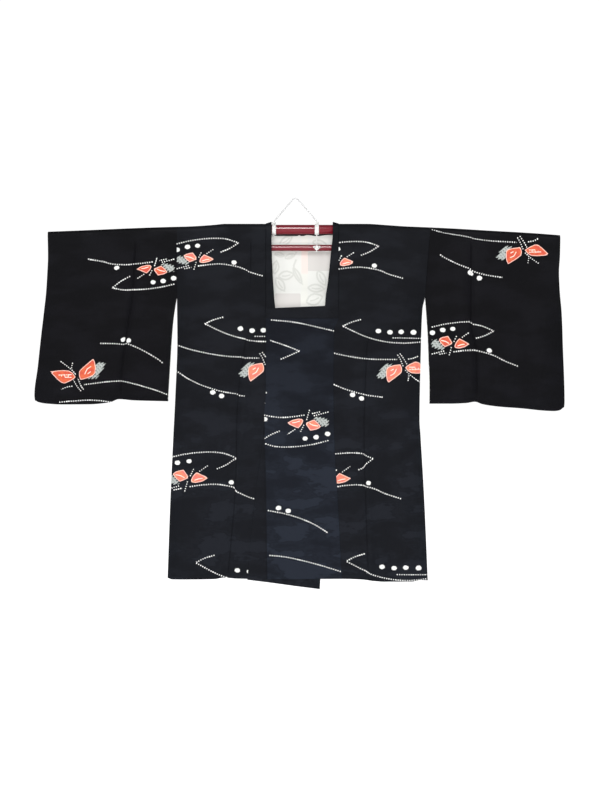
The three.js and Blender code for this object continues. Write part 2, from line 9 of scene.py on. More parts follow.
import bpy
import numpy as np
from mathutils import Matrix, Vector


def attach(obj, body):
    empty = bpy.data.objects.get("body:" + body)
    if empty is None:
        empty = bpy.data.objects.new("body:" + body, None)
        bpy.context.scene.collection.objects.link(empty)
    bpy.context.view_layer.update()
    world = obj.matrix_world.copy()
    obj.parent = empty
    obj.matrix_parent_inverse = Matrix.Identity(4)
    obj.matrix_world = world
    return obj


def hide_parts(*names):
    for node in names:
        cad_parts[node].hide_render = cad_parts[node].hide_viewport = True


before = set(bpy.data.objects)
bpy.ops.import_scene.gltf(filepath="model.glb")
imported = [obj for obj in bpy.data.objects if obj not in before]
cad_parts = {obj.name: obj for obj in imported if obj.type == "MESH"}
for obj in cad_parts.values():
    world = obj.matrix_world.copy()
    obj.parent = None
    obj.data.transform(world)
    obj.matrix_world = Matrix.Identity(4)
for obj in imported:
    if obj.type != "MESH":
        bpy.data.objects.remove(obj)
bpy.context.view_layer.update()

MM = 0.001
OUTWARD = {"right": -1, "left": 1}

# ------------------------------------------------------------------------------------------
# Sizes

CLOTH_WALL = 1.8
BAND_WALL = 3.0
LINING_WALL = 1.0
SEAM_GAP = 0.01                 # the shells meet more closely than the solids do
SEAM_PINCH = 2.15
BAND_RISE = BAND_WALL - CLOTH_WALL
OVERLAP = {"lift": 3.6, "starts": 110, "full": 250, "inner": 115, "outer": 215}
SIDE_PINCH_WIDTH = 60
GRID = 5.0                      # spacing of the cloth's points

MID_TUBE = {"radius": 11.8, "bore": 9.45, "half": 160, "drop": 75.75}
SLIDE_TUBE = {"radius": 9.1, "inserted": 60, "cuff_inset": 16}
LOWER_BAR = {"radius": 7.6, "half": 190, "drop": 121.75}
STRAP = {"across": 53.5, "width": 10, "thickness": 1.2, "clearance": 0.4, "tab_top": 56.5}
TIE = {"right": -68.5, "left": 53.5, "radius": 1.4, "ahead": 0.8}
CORD = {"radius": 1.75, "hook": 7, "leg_angle": math.radians(41)}
TUBE_CLEARANCE = 0.6

CENTRE_BACK = 17
NECK_SIDE = {"right": -73.5, "left": 107.75}
BACK_NECK = {"drop": 91, "top_angle": 45, "stand_off": 1.7}
NECK_BOTTOM = 269.75
NECK_SLANT = 0.042              # the opening's lower edge rises a little to the wearer's left
BAND_BOTTOM = 298.5
ARMHOLE_END = 247.5
ARMHOLE_NARROWS = 165           # from here down the armhole's two sides come together
CUFF_SLIT_END = 315
NECK_PEAK = 4
HEM_FLARE = 5
BACK_HEM = 948
HEM_SHAPED_FROM = 875
LINING_FOOT = 330

# Top edge of the hanging cloth, from cuff to cuff: x, drop.
SHOULDER_LINE = [
    (-618, 81.2), (-548, 78.5), (-488, 76.0), (-414, 72.8), (-338, 70.0), (-264, 68.0),
    (-204, 64.2), (-175, 61.55), (0, 61.55), (175, 61.55), (229, 64.75), (274, 67.75),
    (349, 71.0), (409, 74.0), (484, 78.5), (544, 81.8), (604, 85.5), (661, 90.0),
]
# Edges and seams: drop, x.
ARMHOLE = {"right": [(85, -296), (247.5, -296)], "left": [(85, 335.5), (247.5, 323.8)]}
SIDE_SEAM = {
    "right": [(247.5, -296), (350, -295), (490, -300), (630, -307), (790, -314), (950, -319.5)],
    "left": [
        (247.5, 323.8), (272, 318), (312, 315.5), (392, 313.2), (552, 310.2), (592, 312.8),
        (672, 317.8), (752, 322.2), (950, 331),
    ],
}
FRONT_SEAM = {
    "right": [
        (298.5, -73.5), (330, -63.5), (450, -65), (530, -72), (615, -82.5), (755, -101.5),
        (950, -120),
    ],
    "left": [(298.5, 107.75), (330, 96.5), (500, 95.3), (637, 98.5), (720, 104), (950, 116)],
}
OVER_FREE_EDGE = [(298.5, -73.5), (480, -73.5), (535, -77.2), (700, -73.5), (950, -69.8)]
UNDER_FREE_EDGE = [(298.5, 107), (975, 59)]
NECK_EDGE = {
    "right": [(60, -59.5), (100, -59.5), (167, -57.5), (242, -53), (270, -50), (298.5, -47)],
    "left": [
        (60, 93.5), (92, 92.8), (130, 89), (205, 81.2), (242, 75.8), (270, 73.5), (298.5, 71.5),
    ],
}
FURI_EDGE = {
    "right": [(247.5, -296.3), (267, -299.8), (312, -305.8), (505, -318.5)],
    "left": [(247.5, 324.1), (267, 325.6), (342, 330.8), (402, 333), (462, 335.3), (510, 335.3)],
}
CUFF_EDGE = {
    "right": [
        (81, -618.5), (142, -617.5), (187, -619.5), (232, -622.5), (322, -634), (412, -644),
        (485, -652.3), (508, -648.5),
    ],
    "left": [
        (90, 661.5), (142, 660.2), (180, 657.8), (217, 659.2), (307, 666.8), (352, 668.2),
        (502, 672.8), (526, 669),
    ],
}
# Hems: x, drop.
FRONT_HEM = [
    (-319.5, 946), (-308, 950), (-250, 949.8), (-200, 948.2), (-178, 944.5), (-148, 947),
    (-70, 948.5), (120, 947.8), (162, 949), (200, 953.5), (222, 955.2), (292, 955.2),
    (312, 952), (331, 953),
]
UNDER_HEM = [(-120, 950), (59, 973.3)]
SLEEVE_BOTTOM = {
    "right": [
        (-650, 503), (-643.5, 507), (-623.5, 511), (-583.5, 513.3), (-513.5, 512.8),
        (-463.5, 507.8), (-441, 500), (-403.5, 503), (-318.5, 505.3),
    ],
    "left": [
        (335, 511.3), (386.5, 511.3), (426.5, 509.8), (449, 506.5), (466.5, 512.3),
        (486.5, 516), (516.5, 519.5), (556.5, 522.3), (646.5, 529.8), (660, 528), (671, 520),
    ],
}

# The lining's top edge against the back of the neck band, not quite even: x, drop.
LINING_TOP = [
    (-73, 89.6), (-58, 89.2), (-44, 91.4), (-6, 92.4), (4, 91.6), (10, 88.8), (16, 91.8),
    (21, 91.8), (27, 88.9), (42, 90.2), (53, 92.2), (62, 91), (78, 88.9), (107, 88.4),
]

# Main folds of the form: "across" is a fraction from the side edge or the armhole.
FOLD_GROWS = 120                # from where it starts, a body's fold deepens over this drop
BODY_FOLD = {
    "right": {"across": 0.75, "width": 0.05, "depth": 2.4, "start": 330},
    "left": {"across": 0.66, "width": 0.05, "depth": 2.4, "start": 310},
}
SLEEVE_FOLD = {"top": 0.315, "bottom": 0.355, "width": 0.03, "depth": -2.4}
HEM_WAVES = [
    {"length": 168, "depth": 1.9, "front": 1.0, "back": 2.6},
    {"length": 96, "depth": 0.9, "front": 2.2, "back": 0.4},
]
SLEEVE_HANG = {"length": 505, "bottom": 9, "wave": 1.3, "wave_length": 190}


# ------------------------------------------------------------------------------------------
# Reading tables

def mix(a, b, part):
    return a + (b - a) * part


def ramp(start, end, value):
    part = np.clip((np.asarray(value, float) - start) / (end - start), 0, 1)
    return part * part * (3 - 2 * part)


def follow(table, place):
    """The second column of a table at a place in its first: smooth, never past its rows."""
    along, read = np.array(table, float).T
    place = np.clip(np.asarray(place, float), along[0], along[-1])
    step = np.diff(along)
    slope = np.diff(read) / step
    before, after = slope[:-1], slope[1:]
    same_way = before * after > 0
    total = np.where(same_way, before + after, 1)
    inner = np.where(same_way, 2 * before * after / total, 0)
    tangent = np.concatenate([slope[:1], inner, slope[-1:]])
    i = np.clip(np.searchsorted(along, place) - 1, 0, len(step) - 1)
    t = (place - along[i]) / step[i]
    from_start = (1 + 2 * t) * (1 - t) ** 2 * read[i] + t * (1 - t) ** 2 * step[i] * tangent[i]
    to_end = t * t * (3 - 2 * t) * read[i + 1] + t * t * (t - 1) * step[i] * tangent[i + 1]
    return from_start + to_end


def body_edge(side, drop):
    return follow(ARMHOLE[side] if drop <= ARMHOLE_END else SIDE_SEAM[side], drop)


def sleeve_edge(side, drop):
    drop = np.asarray(drop, float)
    seam = follow(ARMHOLE[side], drop) + OUTWARD[side] * SEAM_GAP
    return np.where(drop > ARMHOLE_END, follow(FURI_EDGE[side], drop), seam)


# ------------------------------------------------------------------------------------------
# The hanging form

def shoulder_radius(x):
    thick = MID_TUBE["radius"] + TUBE_CLEARANCE + CLOTH_WALL
    thin = SLIDE_TUBE["radius"] + TUBE_CLEARANCE + CLOTH_WALL
    return mix(thick, thin, ramp(MID_TUBE["half"] + 15, MID_TUBE["half"] + 100, np.abs(x)))


def axis_drop(x):
    return follow(SHOULDER_LINE, x) + shoulder_radius(x)


def body_depth(x, drop, facing):
    down = np.maximum(0, (drop - axis_drop(x)) / (BACK_HEM - axis_drop(x)))
    phase = "front" if facing < 0 else "back"
    wave = sum(w["depth"] * np.sin(2 * np.pi * x / w["length"] + w[phase]) for w in HEM_WAVES)
    return shoulder_radius(x) + HEM_FLARE * down + wave * down ** 1.5


def front_lift(x, drop):
    """The wearer's left front lies over the right one, and comes down to it further out."""
    raised = OVERLAP["lift"] * ramp(OVERLAP["starts"], OVERLAP["full"], drop)
    return raised * (1 - ramp(OVERLAP["inner"], OVERLAP["outer"], x))


def no_lift(x, drop):
    return 0 * x


def closed(depth, edge_depth, distance):
    part = np.sin(np.pi / 2 * np.minimum(1, distance / SIDE_PINCH_WIDTH))
    return mix(edge_depth, depth, part)


# Lines of the deepest folds in front: drop, x.
FOLD_LINE = {
    "body_right": [(330, -120), (495, -143.5), (727, -150), (946, -168.5)],
    "body_left": [(330, 183), (390, 178.3), (612, 171.5), (946, 181.5)],
    "sleeve_right": [(95, -399), (235, -406), (307, -417), (417, -432), (500, -438)],
    "sleeve_left": [(97, 439), (305, 439), (377, 451), (505, 453)],
}
# Cloth that a fold takes up moves the print. Drop, then across and down on the fold's inner
# side, how steeply the print falls away from the fold outside and inside, and its rise there.
PRINT_SLIP = {
    "body_right": [
        (330, 0, 2, 0, 0, 0), (640, 0, 5, 0, 0, 0), (730, 0, 10, 0, 0, 0), (946, 13, 4, 0, 0, 0),
    ],
    "body_left": [
        (400, 0, 0, 0, 0, 0), (640, 11, 0, 0, 0, 0), (720, 12, 0, 0, 0, 0), (850, 0, 0, 0, 0, 0),
        (946, 7, 0, 0, 0, 0),
    ],
    "sleeve_right": [
        (100, 0, 0, 0.14, 0, 6), (250, 0, 0, 0.14, 0, 6), (350, -11, -8, 0.1, 0.05, 4),
        (420, -4, -2, 0.12, 0.08, 8), (470, 0, 0, 0.14, 0.08, 10), (500, 0, 0, 0.1, 0.08, 12),
    ],
    "sleeve_left": [
        (80, 0, -2, 0, 0, 0), (140, 0, -4, 0.08, 0, 6), (230, 0, -4, 0, 0, 0),
        (330, 0, -6, 0.11, -0.01, 0), (390, 0, 0, 0.11, -0.03, -2), (500, 0, 0, 0.11, 0, 0),
    ],
}
KINK_REACH = 110                # a kinked print runs level again this far from the fold
# Creases laid on the form, as (drop, x) lines, width and depth, which pushes in below
# zero. The narrow ones also get a fine pressed line in the cloth's material, with painted shade along it.
CREASES = {
    ("body_right", -1): [
        ([(92, -111), (228, -112)], 5, -0.9),
        (FOLD_LINE["body_right"], 5.0, -1.5),
        ([(360, -172), (640, -186), (940, -205)], 13, 1.1),
        ([(500, -262), (930, -272)], 16, -1.0),
        ([(270, -250), (520, -236)], 12, -0.8),
    ],
    ("body_left", -1): [
        (FOLD_LINE["body_left"], 5.0, -1.6),
        ([(420, 206), (700, 212), (940, 222)], 13, 1.0),
        ([(560, 276), (940, 290)], 15, -1.1),
        ([(262, 282), (470, 262)], 11, -0.8),
    ],
    ("body_right", 1): [
        ([(240, -252), (560, -244), (900, -262)], 12, -1.3),
        ([(420, -160), (930, -178)], 14, 1.2),
        ([(300, -92), (700, -84)], 9, -0.9),
    ],
    ("body_left", 1): [
        ([(260, 276), (610, 262), (930, 280)], 12, -1.3),
        ([(380, 196), (900, 206)], 15, 1.1),
        ([(520, 96), (940, 88)], 10, -1.0),
    ],
    ("sleeve_right", -1): [
        (FOLD_LINE["sleeve_right"], 5.5, -2.0),
        ([(150, -372), (480, -384)], 10, 0.9),
        ([(180, -540), (470, -566)], 16, -1.0),
        ([(300, -478), (500, -492)], 9, 0.7),
    ],
    ("sleeve_left", -1): [
        (FOLD_LINE["sleeve_left"], 5.5, -2.0),
        ([(140, 410), (480, 418)], 10, 0.9),
        ([(200, 572), (490, 590)], 16, -1.0),
        ([(330, 508), (505, 516)], 9, 0.7),
    ],
    ("sleeve_right", 1): [
        ([(110, -420), (480, -440)], 3.6, -2.0),
        ([(200, -545), (480, -560)], 14, -0.9),
    ],
    ("sleeve_left", 1): [
        ([(110, 446), (490, 462)], 3.6, -2.0),
        ([(220, 566), (490, 584)], 14, -0.9),
    ],
    ("tate_eri_over", -1): [
        ([(560, 22), (760, 14), (940, 20)], 9, -0.9),
        ([(320, 60), (470, 66)], 9, -0.6),
        ([(600, -46), (935, -38)], 12, 0.7),
    ],
    ("tate_eri_under", -1): [([(700, -30), (960, -22)], 12, -0.8)],
}
CREASE_FADE = 70                # a crease comes and goes over this length
SNAP = {"x": -50, "drop": 418, "radius": 7, "ring": 2.5, "depth": -1.0}    # pressing through
NARROW = 6                      # creases narrower than this are pressed lines
FULL_LENGTH = {"body": 900, "sleeve": 470}      # a crease that ends below this runs off the edge
# The fine lines pressed into the cloth, at creases and seams: half width, and strength of their bump and of
# the painted shade along them.
PRESSED = {"body": (2.2, 0.5), "sleeve": (3.2, 0.75), "seam": (1.6, 0.3)}


def crease_relief(piece, facing, x, drop):
    relief = 0 * (x + drop)
    full_length = FULL_LENGTH["sleeve" if piece.startswith("sleeve") else "body"]
    for line, width, depth in CREASES.get((piece, facing), []):
        start, end = line[0][0], line[-1][0]
        away = (x - follow(line, drop)) / width
        shown = ramp(start, start + CREASE_FADE, drop)
        if end <= full_length:
            shown = shown * (1 - ramp(end - CREASE_FADE, end, drop))
        relief = relief + depth * np.exp(-away ** 2) * shown
    return relief


# ------------------------------------------------------------------------------------------
# Meshes

def add_object(name, data):
    made = bpy.data.objects.new(name, data)
    bpy.context.scene.collection.objects.link(made)
    return made


def make_object(name, vertices, faces, materials, material_index=None, sharp=math.radians(50)):
    mesh = bpy.data.meshes.new(name)
    mesh.from_pydata((np.asarray(vertices, float) * MM).tolist(), [], faces)
    mesh.polygons.foreach_set("use_smooth", [True] * len(mesh.polygons))
    for material in materials:
        mesh.materials.append(material)
    if material_index is not None:
        mesh.polygons.foreach_set("material_index", np.asarray(material_index, np.int32))
    mesh.set_sharp_from_angle(angle=sharp)
    mesh.update()
    return add_object(name, mesh)


def stand_for(piece, solid):
    """Puts a piece on the part's one body, in place of a solid."""
    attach(piece, "root")
    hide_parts(solid)


def signed_volume(vertices, quads):
    total = 0
    for a, b, c in ((0, 1, 2), (0, 2, 3)):
        corners = [vertices[quads[:, k]] for k in (a, b, c)]
        total += np.sum(corners[0] * np.cross(corners[1], corners[2]))
    return total


def cloth_shell(name, rows, row_points, keep=None, ring=False, materials=(), prints=()):
    """A wall of cloth through rows of points, printed on its first side.

    row_points(row, inset) gives a row's points and their chart places: where each point lies
    on the flat printed cloth, and on the form before folds shift the print. keep says which
    cells are cloth.
    """
    sets = [[row_points(row, inset) for row in rows] for inset in (False, True)]
    outer, inner = (np.stack([points for points, chart in layer], 1) for layer in sets)
    chart = np.stack([flat for points, flat in sets[0]], 1)
    columns, count = outer.shape[:2]
    cells = np.ones((columns - 1, count if ring else count - 1), bool)
    if keep is not None:
        cells &= keep
    i, j = np.nonzero(cells)
    size = columns * count

    def quads(pairs, layer):
        return layer * size + np.stack([p * count + q % count for p, q in pairs], 1)

    corners = [(i, j), (i + 1, j), (i + 1, j + 1), (i, j + 1)]
    outside = quads(corners, 0)
    inside = quads(corners[::-1], 1)
    walls = []
    for k, (di, dj) in enumerate([(0, -1), (1, 0), (0, 1), (-1, 0)]):
        p, q = i + di, j + dj
        if ring:
            q = q % cells.shape[1]
        within = (p >= 0) & (p < cells.shape[0]) & (q >= 0) & (q < cells.shape[1])
        joined = np.zeros(len(i), bool)
        joined[within] = cells[p[within], q[within]]
        a, b = outside[:, k], outside[:, (k + 1) % 4]
        walls.append(np.stack([b, a, a + size, b + size], 1)[~joined])
    vertices = np.concatenate([outer.reshape(-1, 3), inner.reshape(-1, 3)])
    faces = np.concatenate([outside, inside, *walls])
    places = np.stack([chart[p, q % count] for p, q in corners], 1)
    torn = np.abs(places[:, 0, 1] - places[:, 2, 1]) > CHART_JUMP
    places[torn] = FAR
    if signed_volume(vertices, faces) < 0:
        faces = faces[:, ::-1]
        places = places[:, ::-1]
    used, faces = np.unique(faces, return_inverse=True)
    faces = faces.reshape(-1, 4)
    which = np.zeros(len(faces), int)
    which[len(outside):2 * len(outside)] = 1
    piece = make_object(name, vertices[used], faces.tolist(), materials, which)
    flat = np.full((len(faces), 4, 4), FAR)
    flat[:len(outside)] = places
    write_prints(piece, flat, prints)
    return piece


FAR = 9000.0                    # a place on the chart where nothing is printed
CHART_JUMP = 200                # a cell this long on the chart is where a ring's two ends meet
LAYERS = {"line": 3, "stroke": 1, "fold": 2, "dot": 1}     # how many of a kind may overlap
BEAD_WIDTH = 3.4                # a printed line is a row of small beads
BEAD_PITCH = 5.8
FACE_REACH = 4.0                # from a face's middle to its corner, and a little more


def smooth_line(points, step=6.0):
    """A curve through a few points, as short straight pieces."""
    points = np.array(points, float)
    if len(points) == 2:
        return points
    ends = [2 * points[0] - points[1], *points, 2 * points[-1] - points[-2]]
    path = []
    for p0, p1, p2, p3 in zip(ends, ends[1:], ends[2:], ends[3:]):
        count = max(2, int(np.linalg.norm(p2 - p1) / step))
        for t in np.arange(count)[:, None] / count:
            path.append(0.5 * (2 * p1 + (p2 - p0) * t + (2 * p0 - 5 * p1 + 4 * p2 - p3) * t ** 2
                               + (3 * p1 - p0 - 3 * p2 + p3) * t ** 3))
    return np.array([*path, points[-1]])


def line_places(path, corners, middle):
    """Length along, distance across and distance to the nearer end, for faces by a line."""
    start, step = path[:-1], np.diff(path, axis=0)
    length = np.linalg.norm(step, axis=1)
    direction = step / length[:, None]
    before = np.concatenate([[0], np.cumsum(length)])
    offset = middle[:, None] - start
    along = np.clip(np.sum(offset * direction, 2), 0, length)
    distance = np.linalg.norm(offset - along[..., None] * direction, axis=2)
    best = distance.argmin(1)
    way = direction[best][:, None]
    offset = corners - start[best][:, None]
    run = before[best][:, None] + np.sum(offset * way, 2)
    across = way[..., 0] * offset[..., 1] - way[..., 1] * offset[..., 0]
    first_half = run.mean(1, keepdims=True) < before[-1] / 2
    to_end = np.where(first_half, run, before[-1] - run)
    return distance.min(1), np.stack([run, across, to_end], 2)


def depth_inside(shape, places):
    """How far each place lies inside a closed outline, below zero outside it."""
    step = np.roll(shape, -1, 0) - shape
    offset = places[:, None] - shape
    part = np.clip(np.sum(offset * step, 2) / np.sum(step * step, 1), 0, 1)
    distance = np.linalg.norm(offset - part[..., None] * step, axis=2).min(1)
    above = offset[..., 1] < 0
    rise = np.where(step[:, 1] == 0, 1, step[:, 1])
    crossed = (above != np.roll(above, -1, 1)) & (offset[..., 0] < offset[..., 1] / rise * step[:, 0])
    return np.where(crossed.sum(1) % 2 == 1, distance, -distance)


def write_prints(piece, flat, prints):
    """Each face's place beside the marks near it, kept as attributes for the material."""
    count = len(flat)
    print_flat, form_flat = flat[..., :2], flat[..., 2:]
    layers = {kind: np.full((number, count, 4, 3), FAR) for kind, number in LAYERS.items()}
    nearest = {kind: np.full((number, count), np.inf) for kind, number in LAYERS.items()}
    areas = {kind: np.full((count, 4), -FAR) for kind in ("leaf", "patch")}
    for item in prints:
        kind, size = item["kind"], item["size"]
        flat = form_flat if kind == "fold" else print_flat
        middle = flat.mean(1)
        points = np.array(item["points"], float)
        reach = FACE_REACH + size
        low, high = points.min(0) - reach, points.max(0) + reach
        near = np.nonzero(np.all((middle > low) & (middle < high), 1))[0]
        if not len(near):
            continue
        if kind in areas:
            depth = depth_inside(points, flat[near].reshape(-1, 2)).reshape(-1, 4)
            areas[kind][near] = np.maximum(areas[kind][near], depth)
            continue
        if kind == "dot":
            place = np.zeros((len(near), 4, 3))
            place[..., :2] = (flat[near] - points[0]) / (size, size * 0.82)
            distance = np.linalg.norm(middle[near] - points[0], axis=1)
        else:
            distance, place = line_places(smooth_line(points), flat[near], middle[near])
            place[..., 1] *= BEAD_WIDTH / 2 / size
            if item["plain"]:
                place[..., 0] = item["plain"]
        within = distance < reach
        near, distance, place = near[within], distance[within], place[within]
        for k in range(LAYERS[kind]):
            closer = distance < nearest[kind][k, near]
            old_distance, old_place = nearest[kind][k, near], layers[kind][k, near]
            nearest[kind][k, near[closer]] = distance[closer]
            layers[kind][k, near[closer]] = place[closer]
            distance = np.where(closer, old_distance, distance)
            place = np.where(closer[:, None, None], old_place, place)
    values = {f"{kind}_{k + 1}": layers[kind][k] for kind in LAYERS for k in range(LAYERS[kind])}
    values["chart"] = np.concatenate([print_flat, np.zeros((count, 4, 1))], 2)
    values["areas"] = np.stack([areas["leaf"], areas["patch"], 0 * areas["leaf"]], 2)
    for name, value in values.items():
        attribute = piece.data.attributes.new(name, "FLOAT_VECTOR", "CORNER")
        attribute.data.foreach_set("vector", value.astype(np.float32).ravel())


# ------------------------------------------------------------------------------------------
# Materials

class Graph:
    """A material's nodes, with short calls for the ones used most."""

    def __init__(self, name):
        self.material = bpy.data.materials.new(name)
        self.material.use_nodes = True
        self.tree = self.material.node_tree
        self.tree.nodes.clear()

    def node(self, kind, inputs=None, **settings):
        made = self.tree.nodes.new(kind)
        for key, value in settings.items():
            setattr(made, key, value)
        for key, value in (inputs or {}).items():
            self.put(value, made.inputs[key])
        return made

    def put(self, value, socket):
        if isinstance(value, bpy.types.NodeSocket):
            self.tree.links.new(value, socket)
        else:
            socket.default_value = value

    def place(self):
        return self.node("ShaderNodeTexCoord").outputs["Object"]

    def math(self, operation, *values):
        return self.node("ShaderNodeMath", dict(enumerate(values)), operation=operation).outputs[0]

    def colour(self, factor, low, high):
        mixer = self.node("ShaderNodeMix", data_type="RGBA")
        for index, value in ((0, factor), (6, low), (7, high)):
            self.put(value, mixer.inputs[index])
        return mixer.outputs[2]

    def step(self, value, start, end, low=0.0, high=1.0):
        """Runs smoothly from low to high while the value runs from start to end."""
        inputs = {"Value": value, "From Min": start, "From Max": end, "To Min": low, "To Max": high}
        return self.node("ShaderNodeMapRange", inputs, interpolation_type="SMOOTHSTEP").outputs[0]

    def noise(self, vector, scale, detail=2.0, roughness=0.5):
        inputs = {"Vector": vector, "Scale": scale, "Detail": detail, "Roughness": roughness}
        return self.node("ShaderNodeTexNoise", inputs).outputs[0]

    def attribute(self, name):
        read = self.node("ShaderNodeAttribute", attribute_name=name, attribute_type="GEOMETRY")
        return read.outputs["Vector"]

    def parts(self, vector):
        return list(self.node("ShaderNodeSeparateXYZ", {0: vector}).outputs)

    def stretch(self, vector, scale):
        inputs = {"Vector": vector, "Scale": scale}
        return self.node("ShaderNodeMapping", inputs).outputs[0]

    def bump(self, height, distance, strength=1.0, normal=None):
        inputs = {"Height": height, "Distance": distance, "Strength": strength}
        if normal is not None:
            inputs["Normal"] = normal
        return self.node("ShaderNodeBump", inputs).outputs[0]

    def times(self, *values):
        result = values[0]
        for value in values[1:]:
            result = self.math("MULTIPLY", result, value)
        return result

    def radius(self, x, y):
        """The distance of (x, y) from zero."""
        return self.math("SQRT", self.math("ADD", self.times(x, x), self.times(y, y)))

    def away(self, value, centre):
        return self.math("ABSOLUTE", self.math("SUBTRACT", value, centre))

    def finish(self, **inputs):
        shader = self.node("ShaderNodeBsdfPrincipled")
        for key, value in inputs.items():
            self.put(value, shader.inputs[key.replace("_", " ")])
        out = self.node("ShaderNodeOutputMaterial")
        self.tree.links.new(shader.outputs[0], out.inputs[0])
        return self.material


def rgb(red, green, blue):
    """A colour given as it shows on screen, from 0 to 255."""
    shown = np.array([red, green, blue]) / 255
    linear = np.where(shown > 0.04045, ((shown + 0.055) / 1.055) ** 2.4, shown / 12.92)
    return (*linear, 1.0)


def bead_line(graph, name, rough, merged):
    """A row of small uneven beads along a line, which run together here and there."""
    run, across, to_end = graph.parts(graph.attribute(name))
    cell = graph.math("FRACT", graph.math("DIVIDE", run, BEAD_PITCH))
    from_middle = graph.times(graph.math("SUBTRACT", cell, 0.5), BEAD_PITCH)
    from_middle = graph.math("DIVIDE", graph.math("ADD", from_middle, graph.times(rough, 0.9)), merged)
    shaken = graph.math("DIVIDE", graph.math("ADD", across, graph.times(rough, 1.4)), BEAD_WIDTH / 2)
    bead = graph.step(graph.radius(from_middle, shaken), 1.15, 0.8)
    return graph.times(bead, graph.step(to_end, -0.6, 0.2))


def print_masks(graph):
    """White marks, leaf colour, grey hatching, and pressed folds with their painted shade, each from 0 to 1.
    """
    chart = graph.attribute("chart")
    rough = graph.math("SUBTRACT", graph.noise(chart, 0.35), 0.5)
    merged = graph.step(graph.noise(chart, 0.05, 1.0), 0.52, 0.68, 1.3, 2.2)
    white = 0.0
    for k in range(LAYERS["line"]):
        white = graph.math("MAXIMUM", white, bead_line(graph, f"line_{k + 1}", rough, merged))
    dot_x, dot_y = graph.parts(graph.attribute("dot_1"))[:2]
    away = graph.math("ADD", graph.radius(dot_x, dot_y), graph.times(rough, 0.5))
    speck = graph.radius(graph.math("SUBTRACT", dot_x, 0.12), dot_y)
    dot = graph.times(graph.step(away, 1.0, 0.86), graph.step(speck, 0.05, 0.3, 0.78, 1.0))
    leaf_depth, patch_depth = graph.parts(graph.attribute("areas"))[:2]
    leaf_depth = graph.math("ADD", leaf_depth, graph.times(rough, 1.2))
    leaf = graph.step(leaf_depth, -0.4, 0.4)
    rim = graph.step(leaf_depth, 2.4, 0.9, 0.0, 0.65)
    stroke = bead_line(graph, "stroke_1", rough, 2.3)
    x, drop = graph.parts(chart)[:2]
    # The hatching is rows of short dashes, with ragged ends.
    slant = graph.math("ADD", graph.times(x, 0.62), graph.times(drop, 0.78))
    across = graph.math("SUBTRACT", graph.times(x, 0.78), graph.times(drop, 0.62))
    teeth = graph.math("PINGPONG", graph.math("ADD", slant, graph.times(rough, 2.0)), 3.2)
    patch = graph.step(graph.math("ADD", patch_depth, graph.times(teeth, 1.6)), 1.6, 2.6)
    dash = graph.math("PINGPONG", graph.math("ADD", across, teeth), 3.4)
    gaps = graph.math("MAXIMUM", graph.step(dash, 0.6, 1.4), graph.step(teeth, 0.8, 1.6, 0.0, 0.6))
    hatch = graph.times(patch, graph.math("ADD", graph.times(gaps, 0.7), 0.3))
    fold_bump_and_painted_shade = 0.0
    for k in range(LAYERS["fold"]):
        run, side, to_end = graph.parts(graph.attribute(f"fold_{k + 1}"))
        near = graph.step(graph.math("ABSOLUTE", side), BEAD_WIDTH / 2, 0.0)
        fold_bump_and_painted_shade = graph.math("MAXIMUM", fold_bump_and_painted_shade, graph.times(near, graph.step(to_end, 0.0, 30.0), run))
    over = graph.math("SUBTRACT", 1.0, leaf)
    inner = graph.times(leaf, graph.math("MAXIMUM", rim, stroke))
    return {"white": graph.times(white, over), "dot": graph.times(dot, over), "inner": inner,
            "leaf": leaf, "hatch": graph.times(hatch, over),
            "patch": graph.step(patch_depth, -0.5, 0.5), "fold_bump_and_painted_shade": fold_bump_and_painted_shade, "chart": chart}


def silk_material(name, ground, lighter, leaf_colour, second_leaf):
    """Figured silk: clouds in the weave under the print, with painted sheen that makes the cloth lighter and
    its clouds show more towards the hem.
    """
    graph = Graph(name)
    masks = print_masks(graph)
    place = graph.place()
    # Painted sheen: lighter towards the hem, where the clouds also show more.
    low = graph.step(graph.parts(place)[2], -0.28, -0.8)
    clouds = graph.noise(graph.stretch(place, (8.0, 8.0, 19.0)), 1.0, 4.0, 0.6)
    figure = graph.step(clouds, 0.4, 0.62)
    edge = graph.step(graph.away(clouds, 0.53), 0.035, 0.0)
    figured = graph.times(figure, graph.step(low, 0.0, 1.0, 0.4, 0.85))
    shown = graph.math("MINIMUM", graph.math("ADD", figured, graph.times(low, 0.25)), 1.0)
    cloth = graph.colour(shown, ground, lighter)
    cloth = graph.colour(graph.times(edge, low, 0.35), cloth, rgb(8, 9, 12))
    # Painted shade: the cloth darkens along pressed folds and seams.
    cloth = graph.colour(graph.times(masks["fold_bump_and_painted_shade"], 0.6), cloth, rgb(8, 8, 10))
    cloth = graph.colour(graph.times(masks["hatch"], 0.95), cloth, rgb(158, 163, 160))
    leaf_tint = graph.colour(graph.step(graph.noise(masks["chart"], 0.09), 0.4, 0.6), leaf_colour,
                             second_leaf)
    cloth = graph.colour(masks["leaf"], cloth, leaf_tint)
    cloth = graph.colour(masks["inner"], cloth, rgb(232, 206, 194))
    cloth = graph.colour(masks["dot"], cloth, rgb(206, 206, 204))
    cloth = graph.colour(masks["white"], cloth, rgb(222, 222, 220))
    rough = graph.step(figure, 0.0, 1.0, 0.66, 0.52)
    streak = graph.noise(graph.stretch(place, (900.0, 900.0, 60.0)), 1.0, 2.0)
    weave = graph.math("ADD", graph.times(streak, 0.7), graph.times(graph.noise(place, 1400.0, 1.0), 0.3))
    pressed = graph.bump(graph.math("SUBTRACT", 1.0, masks["fold_bump_and_painted_shade"]), 0.0016, 1.0)
    return graph.finish(
        Base_Color=cloth, Roughness=rough, Specular_IOR_Level=0.012, Sheen_Weight=0.008,
        Sheen_Roughness=0.45, Sheen_Tint=rgb(150, 160, 185),
        Normal=graph.bump(weave, 0.0004, 0.5, pressed))


LINING_STRIP = {"x": 23.0, "half": 8.0}     # a plain strip down the middle of the lining


